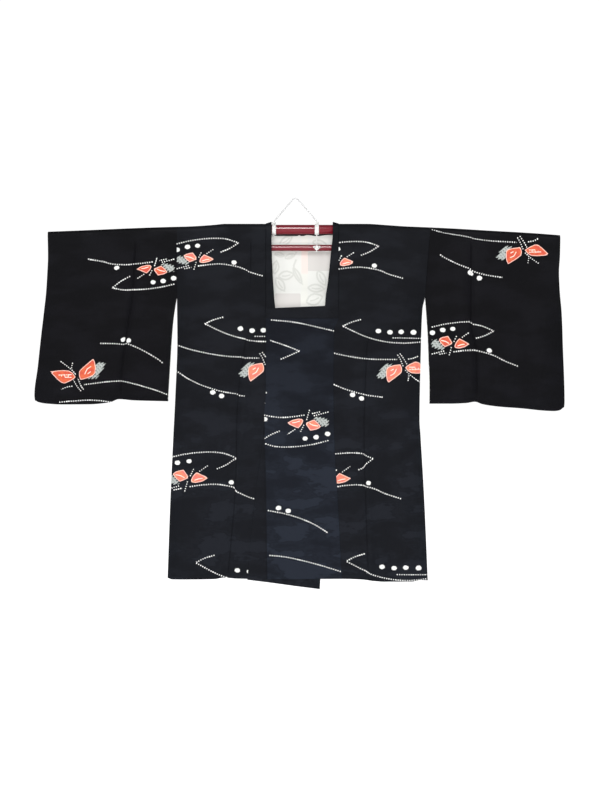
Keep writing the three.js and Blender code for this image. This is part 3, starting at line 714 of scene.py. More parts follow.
def lining_material(name, printed):
    graph = Graph(name)
    place = graph.place()
    mottle = graph.noise(place, 24.0, 2.0)
    cloth = graph.colour(mottle, rgb(194, 194, 190), rgb(200, 201, 197))
    glow = rgb(0, 0, 0)
    if printed:
        masks = print_masks(graph)
        x, drop = graph.parts(masks["chart"])[:2]
        strip = graph.step(graph.away(x, LINING_STRIP["x"]), LINING_STRIP["half"] + 1.5,
                           LINING_STRIP["half"] - 1.5)
        pink = graph.step(graph.away(drop, 155.0), 34.0, 26.0)
        tint = graph.colour(pink, rgb(199, 199, 193), rgb(208, 190, 184))
        cloth = graph.colour(graph.times(strip, 0.8), cloth, tint)
        cloth = graph.colour(graph.times(masks["patch"], 0.8), cloth, rgb(181, 177, 174))
        soft = 0.0
        for k in range(LAYERS["line"]):
            across, to_end = graph.parts(graph.attribute(f"line_{k + 1}"))[1:]
            near = graph.step(graph.math("ABSOLUTE", across), 3.0, 0.6)
            near = graph.times(near, graph.step(to_end, -1.5, 1.0))
            soft = graph.math("MAXIMUM", soft, near)
        cloth = graph.colour(graph.times(soft, 0.8), cloth, rgb(176, 177, 172))
        # A faint glow is painted light: it lifts the lining where the neck band and the tube shade it, at
        # the top, the foot and the sides.
        low_shade = graph.step(drop, 222.0, 262.0)
        top_shade = graph.step(drop, 132.0, 96.0, 0.0, 0.6)
        side_shade = graph.step(graph.away(x, 15.0), 44.0, 74.0, 0.0, 0.45)
        shaded = graph.math("MAXIMUM", graph.math("MAXIMUM", low_shade, top_shade), side_shade)
        glow = graph.colour(graph.times(shaded, 0.46), glow, cloth)
    weave = graph.noise(graph.stretch(place, (900.0, 900.0, 300.0)), 1.0, 2.0)
    return graph.finish(
        Base_Color=cloth, Roughness=0.6, Specular_IOR_Level=0.1, Sheen_Weight=0.02,
        Emission_Color=glow, Emission_Strength=1.0, Normal=graph.bump(weave, 0.0003, 0.4))


def plastic_material(name):
    graph = Graph(name)
    place = graph.place()
    swirl = graph.noise(graph.stretch(place, (6.0, 60.0, 60.0)), 1.0, 3.0)
    body = graph.colour(swirl, rgb(96, 8, 23), rgb(107, 11, 29))
    scuffs = graph.noise(graph.stretch(place, (30.0, 400.0, 400.0)), 1.0, 4.0)
    return graph.finish(Base_Color=body, Roughness=graph.step(scuffs, 0.35, 0.7, 0.38, 0.44),
                        Specular_IOR_Level=0.05, Coat_Weight=0.4, Coat_Roughness=0.22,
                        Normal=graph.bump(scuffs, 0.0003, 0.04))


def tape_material(name, shade, colour):
    graph = Graph(name)
    place = graph.place()
    ribs = graph.node("ShaderNodeTexWave", {"Vector": place, "Scale": 500.0, "Distortion": 1.0},
                      bands_direction="DIAGONAL").outputs[1]
    cloth = graph.colour(graph.times(ribs, 0.6), shade, colour)
    return graph.finish(Base_Color=cloth, Roughness=0.75, Sheen_Weight=0.2,
                        Normal=graph.bump(ribs, 0.0004, 0.8))


def plain_material(name, colour, roughness, glow):
    graph = Graph(name)
    place = graph.place()
    grain = graph.noise(place, 90.0, 2.0)
    shade = graph.colour(graph.math("MULTIPLY", grain, 0.05), colour, rgb(225, 225, 225))
    return graph.finish(Base_Color=shade, Roughness=roughness, Emission_Color=colour,
                        Emission_Strength=glow)


CORAL = rgb(198, 106, 96), rgb(204, 120, 94)
# The coral print as it shows on the sleeves, darker: painted shade.
CORAL_PAINTED_SHADE = rgb(182, 76, 62), rgb(190, 92, 62)
silk = silk_material("figured_silk", rgb(17, 18, 21), rgb(26, 28, 33), *CORAL)
# The panel's silk, bluer and lighter all over: a lit copy of the silk, painted sheen.
silk_painted_sheen = silk_material("figured_silk_blue", rgb(18, 20, 25), rgb(31, 35, 43), *CORAL)
# A darker copy of the silk for the sleeves: painted shade.
silk_painted_shade = silk_material("figured_silk_dark", rgb(13, 13, 15), rgb(19, 19, 23), *CORAL_PAINTED_SHADE)
lining = lining_material("lining_silk", printed=True)
lining_plain = lining_material("lining_inside", printed=False)
cord_fibre = tape_material("twisted_cord", rgb(192, 192, 193), rgb(198, 198, 198))
plastic = plastic_material("burgundy_plastic")
tape = tape_material("woven_tape", rgb(208, 208, 206), rgb(226, 226, 223))
stage_paper = plain_material("studio_paper", rgb(253, 253, 253), 0.9, 0.8)


# ------------------------------------------------------------------------------------------
# Camera and the hanging cord

VIEW = {"height": 2.0, "distance": 6.0, "x": 0.0115, "z": -0.502, "sensor": 36.0}


def make_camera():
    data = bpy.data.cameras.new("camera")
    data.sensor_fit = "VERTICAL"
    data.sensor_height = VIEW["sensor"]
    data.lens = VIEW["sensor"] * VIEW["distance"] / VIEW["height"]
    camera = add_object("camera", data)
    camera.location = (VIEW["x"], -VIEW["distance"], VIEW["z"])
    camera.rotation_euler = (math.radians(90), 0, 0)
    bpy.context.scene.camera = camera


def ring_points(path, size, side, other, angle):
    """Points round each place of a path, in the plane of two directions across it."""
    return path[:, None] + size * (
        np.cos(angle)[:, None] * side[:, None] + np.sin(angle)[:, None] * other[:, None])


def ring_faces(rings, sides, loop):
    """Faces between each ring of points and the next, and from the last to the first in a loop."""
    faces = []
    for k in range(rings if loop else rings - 1):
        low, high = k * sides, (k + 1) % rings * sides
        for s in range(sides):
            after = (s + 1) % sides
            faces.append((low + s, low + after, high + after, high + s))
    return faces


def sweep(path, radius, sides, twist=0.0, strands=0, strand_depth=0.0, end_round=0.0):
    """A closed round bar along a path of points, with rounded ends or twisted strands."""
    path = np.array(path, float)
    tangent = np.gradient(path, axis=0)
    tangent /= np.linalg.norm(tangent, axis=1)[:, None]
    side = np.cross(tangent, [0.0, 1.0, 0.0])
    weak = np.linalg.norm(side, axis=1) < 0.2
    side[weak] = np.cross(tangent[weak], [0.0, 0.0, 1.0])
    side /= np.linalg.norm(side, axis=1)[:, None]
    other = np.cross(side, tangent)
    run = np.concatenate([[0], np.cumsum(np.linalg.norm(np.diff(path, axis=0), axis=1))])
    angle = np.arange(sides) * 2 * np.pi / sides
    size = np.full((len(path), sides), float(radius))
    if strands:
        size += strand_depth * (np.abs(np.sin(strands / 2 * (angle + twist * run[:, None]))) - 0.5)
    if end_round:
        to_end = np.minimum(run, run[-1] - run)
        part = np.clip(to_end / end_round, 0, 1)
        size *= (0.55 + 0.45 * np.sqrt(1 - (1 - part) ** 2))[:, None]
    rings = ring_points(path, size[..., None], side, other, angle)
    faces = ring_faces(len(path), sides, loop=False)
    last = (len(path) - 1) * sides
    faces.append(tuple(range(sides))[::-1])
    faces.append(tuple(last + s for s in range(sides)))
    return rings.reshape(-1, 3), faces


def sweep_closed(path, radius, sides):
    """A round bar along a closed loop of points."""
    tangent = np.roll(path, -1, 0) - np.roll(path, 1, 0)
    tangent /= np.linalg.norm(tangent, axis=1)[:, None]
    side = path - path.mean(0)
    side -= np.sum(side * tangent, 1)[:, None] * tangent
    side /= np.linalg.norm(side, axis=1)[:, None]
    other = np.cross(tangent, side)
    angle = np.arange(sides) * 2 * np.pi / sides
    rings = ring_points(path, radius, side, other, angle)
    return rings.reshape(-1, 3), ring_faces(len(path), sides, loop=True)


def joined(parts):
    vertices, faces, count = [], [], 0
    for points, polygons in parts:
        vertices.extend(np.asarray(points).tolist())
        faces.extend([tuple(v + count for v in face) for face in polygons])
        count += len(points)
    return vertices, faces


def bar_object(name, parts, material, solid):
    vertices, faces = joined(parts)
    piece = make_object(name, vertices, faces, [material], sharp=math.radians(60))
    stand_for(piece, solid)
    return piece


def cord_path():
    """Two straight legs over the hook, from the wearer's right to the left."""
    bend = CORD["hook"] + CORD["radius"]
    lean = CORD["leg_angle"]
    tangent = np.array([math.cos(lean) * bend, 0, math.sin(lean) * bend - CORD["hook"]])
    end_drop = STRAP["tab_top"] - SEAM_GAP - CORD["radius"] * math.sin(lean)
    leg_length = (end_drop + tangent[2]) / math.cos(lean)
    way = np.array([math.sin(lean), 0, -math.cos(lean)])
    leg = [tangent + way * leg_length * part for part in np.linspace(1, 0, 30)]
    half_turn = math.pi / 2 - lean
    arc = []
    for part in np.linspace(-1, 1, 17)[1:-1]:
        angle = math.pi / 2 + part * half_turn
        arc.append(np.array([bend * math.cos(angle), 0, bend * math.sin(angle) - CORD["hook"]]))
    far_leg = [point * [-1, 1, 1] for point in leg[::-1]]
    return np.array([*leg, *arc, *far_leg])[::-1]


make_camera()
hanging_line = cord_path()
cord = bar_object("cord_twisted", [sweep(hanging_line, CORD["radius"], 12, 0.55, 3, 0.07)],
                  cord_fibre, "hanger_cord")


# ------------------------------------------------------------------------------------------
# The printed marks. A chart place is (x, drop) in front; behind, drops run on over the shoulder
# to below zero. Each motif is drawn once, from its pointed tip, and placed by a table.

def mark(kind, points, size=0.0, plain=0.0):
    """plain gives an even line: half a bead's pitch for print, the strength of a fold's bump and painted
    shade.
    """
    return {"kind": kind, "points": points, "size": size, "plain": plain}


def line(*points, size=BEAD_WIDTH / 2):
    """A row of beads."""
    return mark("line", points, size)


def twig(*points):
    """A thin row of beads."""
    return mark("line", points, 1.25)


def stroke(*points):
    """A light stroke inside a leaf."""
    return mark("stroke", points, 1.0, BEAD_PITCH / 2)


def dot(x, drop, size=7.2):
    return mark("dot", [(x, drop)], size)


def leaf(*outline):
    return mark("leaf", outline)


def patch(*outline):
    return mark("patch", outline)


# Motif A: an arrow-shaped stream with a small pair of leaves under its upper line.
MOTIF_A = [
    line((-156, 3), (-117, -6), (-73, -11), (-33, -10), (0, 0)),
    line((0, 0), (-22, 14), (-44, 23)),
    dot(-153, 17), dot(-127, 10), dot(-102, 7, 6.6), dot(-11, 49, 6.8),
    leaf((-138, 32), (-129, 27), (-114, 24), (-102, 40), (-112, 44), (-122, 48), (-131, 41)),
    leaf((-86, 29), (-60, 40), (-73, 47), (-87, 50), (-96, 49), (-98, 45), (-94, 37)),
    stroke((-131, 34), (-120, 36), (-112, 40)), stroke((-90, 45), (-81, 42), (-73, 41)),
    patch((-153, 35), (-141, 34), (-123, 51), (-131, 53), (-145, 50), (-154, 46)),
    twig((-100, 38), (-92, 22)), twig((-81, 28), (-62, 16)), twig((-105, 46), (-112, 69)),
    line((-156, 65), (-122, 56), size=1.5), line((-137, 65), (-118, 61), size=1.5),
    line((-102, 58), (-72, 54), (-40, 53), (0, 60), (25, 70), (62, 81)),
]
# Motif B: the stream turned about, with a larger pair of leaves below it.
MOTIF_B = [
    line((47, -17), (22, -10), (0, 0)),
    line((0, 0), (55, 25), (103, 38), (151, 42), (197, 39)),
    line((123, 29), (198, 30), size=1.5),
    dot(89, 12), dot(118, 15), dot(146, 14), dot(177, 15, 7.8),
    line((-78, 50), (-35, 64), (20, 76), (70, 82), (135, 83)),
    line((162, 82), (175, 80), (190, 74), size=1.5),
    twig((136, 70), (143, 81), (151, 100)), twig((142, 67), (151, 79), (161, 96)),
    twig((155, 108), (168, 121), (192, 139)), twig((166, 121), (163, 136)),
    leaf((109, 106), (115, 101), (129, 97), (144, 95), (148, 105), (147, 116), (133, 127), (114, 141),
         (110, 133), (108, 119)),
    leaf((155, 102), (168, 94), (182, 88), (190, 90), (199, 97), (217, 115), (200, 117), (186, 118),
         (172, 117), (163, 112)),
    stroke((119, 123), (128, 118), (134, 107)), stroke((120, 111), (127, 107)),
    stroke((166, 102), (181, 102)), stroke((166, 108), (196, 107)), stroke((173, 101), (174, 109)),
    stroke((181, 102), (182, 109)), stroke((189, 104), (190, 108)),
    patch((124, 96), (107, 95), (99, 104), (90, 117), (86, 127), (102, 130), (109, 123), (108, 105)),
    line((-57, 127), (-40, 138), (0, 156), (49, 170), (99, 177)),
    dot(20, 171), dot(42, 180),
]


def outline(x, drop, half_length, half_width, tilt):
    """A pointed oval, drawn as one soft line, with a middle vein."""
    way = np.array([math.cos(math.radians(tilt)), math.sin(math.radians(tilt))])
    off = np.array([-way[1], way[0]])
    centre = np.array([x, drop])
    shape = [(-1, 0), (-0.5, 0.8), (0.2, 1), (1, 0), (0.2, -1), (-0.5, -0.8), (-1, 0)]
    rim = [centre + way * half_length * a + off * half_width * b for a, b in shape]
    vein = [centre - way * half_length * 0.5, centre + off * 1.5, centre + way * half_length * 0.6]
    return [line(*rim, size=2.0), line(*vein, size=1.5)]


def square(x, drop, half_width, half_height):
    return patch(*[(x + a * half_width, drop + b * half_height)
                   for a, b in ((-1, -1), (1, -1), (1, 1), (-1, 1))])


# The lining's pale leaves, as x, drop, half length, half width and tilt.
LINING_LEAVES = [
    (-24, 190, 19, 10, -8), (65, 196, 20, 9, 62), (51, 222, 20, 9, 4), (-38, 212, 19, 9, 58),
    (-24, 103, 19, 8, -35), (-50, 170, 16, 8, -80), (47, 250, 21, 13, -20), (-14, 142, 13, 5, -20),
    (-40, 138, 12, 5, 15), (5, 190, 22, 6, 62), (62, 112, 20, 9, 20), (-12, 290, 19, 9, 10),
    (60, 300, 19, 9, 70),
]
MOTIFS = {"A": MOTIF_A, "B": MOTIF_B}
# Where the motifs fall on each piece: motif, x, drop, turned about, width, height.
LAYOUT = {
    "body_right": [
        ("A", -142, 110, 1, 1.0, 1.0), ("B", -226, 312, 1, 1.0, 1.0), ("A", -147, 646, 1, 1.16, 1.25),
        ("B", -249, 908, 1, 1.04, 1.15), ("A", -120, -430, -1, 1.1, 1.1), ("B", -240, -232, 1, 1.0, 1.0),
        ("B", -60, -600, -1, 1.05, 1.1),
    ],
    "body_left": [
        ("A", 208, 118, 1, 1.0, 1.0), ("B", 118, 318, 1, 1.0, 1.0), ("A", 194, 648, 1, 1.12, 1.24),
        ("B", 123.5, 904, 1, 1.04, 1.15), ("A", 230, -430, 1, 1.1, 1.1), ("B", 120, -232, 1, 1.0, 1.0),
        ("B", 270, -630, -1, 1.0, 1.1),
    ],
    "sleeve_right": [
        ("A", -457, 221, -1, 1.0, 1.0), ("B", -385, 551, -1, 1.05, 1.09),
        ("B", -560, -180, 1, 1.0, 1.0), ("A", -420, -330, 1, 1.0, 1.0),
    ],
    "tate_eri_over": [("A", -88, 606, -1, 1.1, 1.15)],
    "sleeve_left": [
        ("B", 417, 28, 1, 1.0, 0.95), ("A", 495, 324, 1, 1.0, 1.0), ("B", 560, -300, -1, 1.0, 1.0),
        ("A", 600, -120, 1, 1.0, 1.0),
    ],
}
# Single marks beside the motifs.
SINGLE = {
    "body_right": [line((-300, 428), (-290, 434), (-280, 441))],
    "sleeve_left": [leaf((546, 521), (600, 524), (646, 528), (646, 536), (590, 532), (546, 529))],
    "back_lining": [
        line((2, 150), (-4, 172), (12, 204), size=2.0),
        square(60, 155, 29, 24), square(-19, 253, 32, 18),
    ],
    "tate_eri_over": [
        line((-62, 302), (8, 310), (96, 330)),
        line((-64, 353), (-20, 368), (10, 380)), line((10, 380), (-14, 391), (-38, 401)),
        dot(-74, 484, 3), dot(-78, 510, 3),
        line((-66, 889), (-24, 893), (30, 905), (73, 917), (115, 930)),
        line((-70, 777), (-28, 785), (10, 796), (49, 813), (81, 833)), dot(-42, 771), dot(-18, 778),
    ],
}


def placed(motif, x, drop, turned, wide, tall):
    """A motif's marks with its tip at a chart place."""
    scale = np.array([turned * wide, turned * tall])
    return [{**item, "points": np.array(item["points"], float) * scale + (x, drop)}
            for item in MOTIFS[motif]]


def down_line(table):
    return [(x, drop) for drop, x in table]


def sewn_lines(piece):
    """Seams beside a piece, along (x, drop) points: soft lines where the cloth turns in, pressed in and
    darkened with painted shade.
    """
    kind, side = piece.rsplit("_", 1)
    if side not in OUTWARD:
        return [down_line(FRONT_SEAM["left"])] if side == "over" else []
    neck = [(NECK_SIDE[side], 60), (NECK_SIDE[side], BAND_BOTTOM)]
    if kind == "sleeve":
        return [down_line(ARMHOLE[side])]
    if kind == "body":
        return [down_line(ARMHOLE[side]), down_line(FRONT_SEAM[side]), neck]
    corners = [[(-53, NECK_BOTTOM), (-73.5, BAND_BOTTOM)], [(74, NECK_BOTTOM), (107, BAND_BOTTOM)]]
    foot = [(-73.5, BAND_BOTTOM), (107, BAND_BOTTOM)]
    return [neck, foot, *corners] if side == "left" else [neck]


def marks_on(piece):
    marks = list(SINGLE.get(piece, []))
    if piece == "back_lining":
        return marks + [item for row in LINING_LEAVES for item in outline(*row)]
    for row in LAYOUT.get(piece, []):
        marks += placed(*row)
    for facing in (-1, 1):
        for crease, width in [row[:2] for row in CREASES.get((piece, facing), [])]:
            if width < NARROW:
                drop, x = np.array(crease, float).T
                pressed = PRESSED["sleeve" if piece.startswith("sleeve") else "body"]
                marks.append(mark("fold", chart_at(None, x, drop, facing)[:, 2:], *pressed))
    return marks + [mark("fold", seam, *PRESSED["seam"]) for seam in sewn_lines(piece)]


# ------------------------------------------------------------------------------------------
# Cloth pieces

def chart_at(piece, x, drop, facing):
    """The place of a point below the tube, in front or behind: on the print, then on the form."""
    axis = axis_drop(x)
    if facing > 0:
        drop = axis - np.pi * shoulder_radius(x) - (drop - axis)
        return np.stack([x, drop, x, drop], 1)
    drop = drop + 0 * x
    across, down = x, drop
    if piece in PRINT_SLIP:
        outside = OUTWARD[piece.split("_")[1]] * (x - follow(FOLD_LINE[piece], drop))
        inward = ramp(5, -5, outside)
        rows = np.array(PRINT_SLIP[piece], float)
        slip_x, slip_down, outer, inner, rise = (follow(rows[:, [0, k]], drop) for k in range(1, 6))
        kink = np.where(outside > 0, outer, inner)
        fall = kink * np.minimum(np.abs(outside), KINK_REACH) - rise
        across = x - inward * slip_x
        down = drop - inward * slip_down - fall
    return np.stack([across, down, x, drop], 1)


def chart_over(x, degrees):
    drop = axis_drop(x) - shoulder_radius(x) * math.radians(180 - degrees)
    return np.stack([x, drop, x, drop], 1)


def around_tube(x, degrees, radius):
    angle = math.radians(degrees)
    return np.stack([x, math.cos(angle) * radius + 0 * x, math.sin(angle) * radius - axis_drop(x)], 1)


def levels(start, end):
    count = max(1, round((end - start) / GRID))
    return list(np.linspace(start, end, count + 1))


SHOULDER_ANGLES = list(np.linspace(180, 0, 13))
NEAR_TUBE = [1 / 3, 2 / 3]      # rows between the tube's axis and the first level
TOP_LEVEL = BACK_NECK["drop"] + SEAM_GAP
BACK_STEPS = 18
BODY_STEPS = 76
PANEL_STEPS = 36
LINING_STEPS = 38
SLEEVE_STEPS = 104
SLEEVE_DOWN_STEPS = 90
TUBE_SIDES = 32


def body_rows():
    down = [{"near": part} for part in NEAR_TUBE]
    down += [{"drop": drop} for drop in levels(TOP_LEVEL, BACK_HEM)]
    front = [{**row, "facing": -1} for row in down][::-1]
    over = [{"degrees": degrees} for degrees in SHOULDER_ANGLES]
    return [*front, *over, *[{**row, "facing": 1} for row in down]]


def hem_drop(table, x, nominal):
    """The hem's own line takes over from the straight rows above it."""
    part = max(0, (nominal - HEM_SHAPED_FROM) / (BACK_HEM - HEM_SHAPED_FROM))
    return nominal + (follow(table, x) - BACK_HEM) * part


def seam_at(side, nominal, hem=FRONT_HEM):
    """A front seam's x, read at the drop that the hem gives the row there."""
    return follow(FRONT_SEAM[side], hem_drop(hem, follow(FRONT_SEAM[side], nominal), nominal))


def make_body(side):
    name = f"body_{side}"
    outward = OUTWARD[side]
    rows = body_rows()
    across = np.linspace(0, 1, BODY_STEPS)
    fold = BODY_FOLD[side]
    neck = NECK_SIDE[side] + outward * SEAM_GAP / 2
    centre = CENTRE_BACK + outward * SEAM_GAP / 2
    back_x = mix(neck, centre, np.arange(1, BACK_STEPS + 1) / BACK_STEPS)
    fraction = np.concatenate([across, np.ones(BACK_STEPS)])

    def points(row, inset):
        wall = CLOTH_WALL if inset else 0
        nominal = row.get("drop", MID_TUBE["drop"])
        seam = seam_at(side, nominal) if row.get("facing", 1) < 0 else NECK_SIDE[side]
        x = mix(body_edge(side, nominal), seam + outward * SEAM_GAP / 2, across)
        x = np.concatenate([x, back_x])
        if "degrees" in row:
            return (around_tube(x, row["degrees"], shoulder_radius(x) - wall),
                    chart_over(x, row["degrees"]))
        facing = row["facing"]
        level = nominal + 0 * x if "drop" in row else mix(axis_drop(x), TOP_LEVEL, row["near"])
        ridge = fold["depth"] * np.exp(-((fraction - fold["across"]) / fold["width"]) ** 2)
        depth = body_depth(x, level, facing) + ridge * ramp(fold["start"], fold["start"] + FOLD_GROWS, level)
        if side == "left" and facing < 0:
            depth = depth + front_lift(x, level)
        edge = mix(shoulder_radius(x), SEAM_PINCH, ramp(ARMHOLE_NARROWS, ARMHOLE_END, level))
        depth = closed(depth, np.minimum(edge, depth), np.abs(x - body_edge(side, nominal)))
        depth = depth + crease_relief(name, facing, x, level)
        drop = hem_drop(FRONT_HEM, x, nominal) if facing < 0 and "drop" in row else level
        return (np.stack([x, facing * (depth - wall), -drop + 0 * x], 1),
                chart_at(name, x, drop, facing))

    first_back = next(k for k, row in enumerate(rows) if row.get("facing") == 1 and "drop" in row)
    keep = np.ones((len(fraction) - 1, len(rows) - 1), bool)
    keep[BODY_STEPS - 1:, :first_back] = False
    return cloth_shell(name, rows, points, keep, materials=(silk, lining_plain), prints=marks_on(name))


def make_panel(name, start, end, hem, lift, material):
    rows = [{"drop": drop} for drop in levels(BAND_BOTTOM + SEAM_GAP, BACK_HEM)]
    across = np.linspace(0, 1, PANEL_STEPS)

    def points(row, inset):
        nominal = row["drop"]
        x = mix(start(nominal), end(nominal), across)
        depth = body_depth(x, nominal, -1) + lift(x, nominal)
        depth = depth + crease_relief(name, -1, x, nominal + 0 * x)
        if name == "tate_eri_over":
            from_ring = np.hypot(x - SNAP["x"], nominal - SNAP["drop"]) - SNAP["radius"]
            depth = depth + SNAP["depth"] * np.exp(-(from_ring / SNAP["ring"]) ** 2)
        drop = hem_drop(hem, x, nominal)
        wall = CLOTH_WALL if inset else 0
        return np.stack([x, wall - depth, -drop], 1), chart_at(name, x, drop, -1)

    return cloth_shell(name, rows, points, materials=(material, lining_plain), prints=marks_on(name))


BAND = {
    "right": {"front_end": 105, "top": NECK_BOTTOM + 2, "lift": no_lift},
    "left": {"front_end": -73.5, "top": NECK_BOTTOM, "lift": front_lift},
}
BAND_EDGE_STEPS = 6
BAND_STEPS = 26


def make_band(side):
    name = f"koeri_{side}"
    outward = OUTWARD[side]
    band = BAND[side]
    foot = levels(NECK_BOTTOM, BAND_BOTTOM)[::-1]
    foot = [mix(BAND_BOTTOM, band["top"], (BAND_BOTTOM - drop) / (BAND_BOTTOM - NECK_BOTTOM))
            for drop in foot]
    up = levels(TOP_LEVEL, band["top"])[::-1][1:]
    rows = [{"drop": drop} for drop in foot + up]
    rows += [{"near": part} for part in NEAR_TUBE[::-1]]
    over_at = len(rows)
    rows += [{"degrees": degrees} for degrees in SHOULDER_ANGLES]
    rows += [{"near": part, "back": True} for part in NEAR_TUBE]
    rows += [{"near": 1, "back": True}]
    outer_edge = NECK_SIDE[side] - outward * SEAM_GAP / 2
    centre = CENTRE_BACK + outward * SEAM_GAP / 2
    edge_part = np.arange(BAND_EDGE_STEPS + 1) / BAND_EDGE_STEPS
    end_part = np.arange(1, BAND_STEPS + 1) / BAND_STEPS
    edge = np.concatenate([edge_part, np.ones(BAND_STEPS)])

    def stand_up(row, drop):
        """How far the band's inner edge stands up beside the neck, and off the back."""
        if row.get("back"):
            return BACK_NECK["stand_off"] * 0.5
        if "degrees" not in row:
            return NECK_PEAK * 0.5 * edge * (1 - ramp(75, 165, drop))
        degrees = row["degrees"]
        peak = NECK_PEAK * math.sin(math.radians(max(30, degrees))) ** 2
        behind = BACK_NECK["stand_off"] * ramp(90, 45, degrees)
        fade = ramp(BACK_NECK["top_angle"], 90, degrees)
        return np.maximum(peak * edge * fade, behind)

    def points(row, inset):
        nominal = row.get("drop", MID_TUBE["drop"])
        inner = follow(NECK_EDGE[side], nominal)
        is_back = row.get("back") or "degrees" in row
        end = centre if is_back else band["front_end"]
        x = np.concatenate([mix(outer_edge, inner, edge_part), mix(inner, end, end_part)])
        below = ramp(NECK_BOTTOM - 40, NECK_BOTTOM, nominal) * ramp(BAND_BOTTOM, NECK_BOTTOM, nominal)
        level = nominal + NECK_SLANT * (CENTRE_BACK - x) * below
        if "near" in row:
            target = BACK_NECK["drop"] if row.get("back") else TOP_LEVEL
            level = mix(axis_drop(x), target, row["near"])
        rise = BAND_RISE + stand_up(row, level) - (BAND_WALL if inset else 0)
        if "degrees" in row:
            radius = shoulder_radius(x) + rise
            return around_tube(x, row["degrees"], radius), chart_over(x, row["degrees"])
        facing = 1 if row.get("back") else -1
        ahead = 0 if row.get("back") else band["lift"](x, level)
        depth = body_depth(x, level, facing) + ahead + rise
        return np.stack([x, facing * depth, -level], 1), chart_at(name, x, level, facing)

    from_top = [abs(degrees - BACK_NECK["top_angle"]) for degrees in SHOULDER_ANGLES]
    top_angle_at = from_top.index(min(from_top))
    keep = np.ones((len(edge) - 1, len(rows) - 1), bool)
    keep[BAND_EDGE_STEPS:, len(foot) - 1:over_at + top_angle_at] = False
    return cloth_shell(name, rows, points, keep, materials=(silk, silk), prints=marks_on(name))


def make_lining():
    name = "back_lining"
    x = mix(NECK_SIDE["right"] - SEAM_GAP / 2, NECK_SIDE["left"] + SEAM_GAP / 2,
            np.linspace(0, 1, LINING_STEPS))
    rows = [{"drop": drop} for drop in levels(TOP_LEVEL, LINING_FOOT)]

    def points(row, inset):
        depth = body_depth(x, row["drop"], 1) - CLOTH_WALL - SEAM_GAP
        depth = depth - (0 if inset else LINING_WALL)
        to_top = 1 - ramp(TOP_LEVEL, TOP_LEVEL + 12, row["drop"])
        drop = mix(row["drop"] + 0 * x, follow(LINING_TOP, x), to_top)
        return np.stack([x, depth, -drop], 1), chart_at(name, x, drop, -1)

    return cloth_shell(name, rows, points, materials=(lining, lining), prints=marks_on(name))


def make_sleeve(side):
    name = f"sleeve_{side}"
    down_steps = [{"down": part} for part in np.arange(1, SLEEVE_DOWN_STEPS + 1) / SLEEVE_DOWN_STEPS]
    rows = [{"degrees": degrees} for degrees in SHOULDER_ANGLES]
    rows += [{**row, "facing": 1} for row in down_steps]
    rows += [{"turn": turn} for turn in (-30, -60, -90, -120, -150)]
    rows += [{**row, "facing": -1} for row in down_steps[::-1]]
    across = np.linspace(0, 1, SLEEVE_STEPS)

    def depth_at(x, drop, fold_at, facing):
        top = axis_drop(x)
        down = np.maximum(0, (drop - top) / (follow(SLEEVE_BOTTOM[side], x) - top))
        fold = SLEEVE_FOLD["depth"] * np.exp(-((across - fold_at) / SLEEVE_FOLD["width"]) ** 2)
        wave = SLEEVE_HANG["wave"] * np.sin(2 * np.pi * x / SLEEVE_HANG["wave_length"] + facing)
        hanging = fold * ramp(0, 0.4, down) + wave * np.sin(np.pi * np.minimum(1, down))
        depth = mix(shoulder_radius(x), SLEEVE_HANG["bottom"], down ** 0.8) + hanging
        armhole = ramp(ARMHOLE_NARROWS, ARMHOLE_END, drop) * (1 - ramp(ARMHOLE_END + 8, 340, drop))
        cuff = ramp(CUFF_SLIT_END - 50, CUFF_SLIT_END, drop)
        from_inner = np.abs(x - sleeve_edge(side, drop))
        from_cuff = np.abs(x - follow(CUFF_EDGE[side], drop))
        sewn = closed(depth, mix(depth, SEAM_PINCH, armhole), from_inner)
        return np.maximum(SEAM_PINCH, closed(sewn, mix(sewn, SEAM_PINCH, cuff), from_cuff))

    def points(row, inset):
        wall = CLOTH_WALL if inset else 0
        down = 1 if "turn" in row else row.get("down", 0)
        fold_at = mix(SLEEVE_FOLD["top"], SLEEVE_FOLD["bottom"], down)

        def place(drop):
            return mix(sleeve_edge(side, drop), follow(CUFF_EDGE[side], drop), across)

        top = axis_drop(place(ARMHOLE_END))
        low = follow(SLEEVE_BOTTOM[side], place(SLEEVE_HANG["length"])) - SLEEVE_HANG["bottom"]
        x = place(mix(top, low, down))
        if "degrees" in row:
            return (around_tube(x, row["degrees"], shoulder_radius(x) - wall),
                    chart_over(x, row["degrees"]))
        bottom = follow(SLEEVE_BOTTOM[side], x)
        bottom_radius = depth_at(x, bottom, fold_at, 1)
        if "turn" in row:
            angle = math.radians(row["turn"])
            radius = bottom_radius - wall
            drop = bottom - bottom_radius - math.sin(angle) * radius
            facing = 1 if row["turn"] > -90 else -1
            return np.stack([x, math.cos(angle) * radius, -drop], 1), chart_at(name, x, drop, facing)
        facing = row["facing"]
        drop = mix(axis_drop(x), bottom - bottom_radius, down)
        depth = mix(depth_at(x, drop, fold_at, facing), bottom_radius, ramp(0.9, 1, down))
        depth = depth + crease_relief(name, facing, x, drop) * (1 - ramp(0.93, 1, down))
        return (np.stack([x, facing * (depth - wall), -drop], 1), chart_at(name, x, drop, facing))

    return cloth_shell(name, rows, points, ring=True, materials=(silk_painted_shade, lining_plain),
                       prints=marks_on(name))


# ------------------------------------------------------------------------------------------
# Hanger pieces

def revolve(profile, centre, sides=48):
    """A closed profile of (radius, along x) turned about a line along x."""
    profile = np.array(profile, float)
    angle = np.arange(sides) * 2 * np.pi / sides
    radius, along = profile[:, 0], profile[:, 1]
    vertices = np.stack([
        np.repeat(along, sides) + centre[0],
        np.outer(radius, np.cos(angle)).ravel() + centre[1],
        np.outer(radius, np.sin(angle)).ravel() + centre[2]], 1)
    return vertices, ring_faces(len(profile), sides, loop=True)


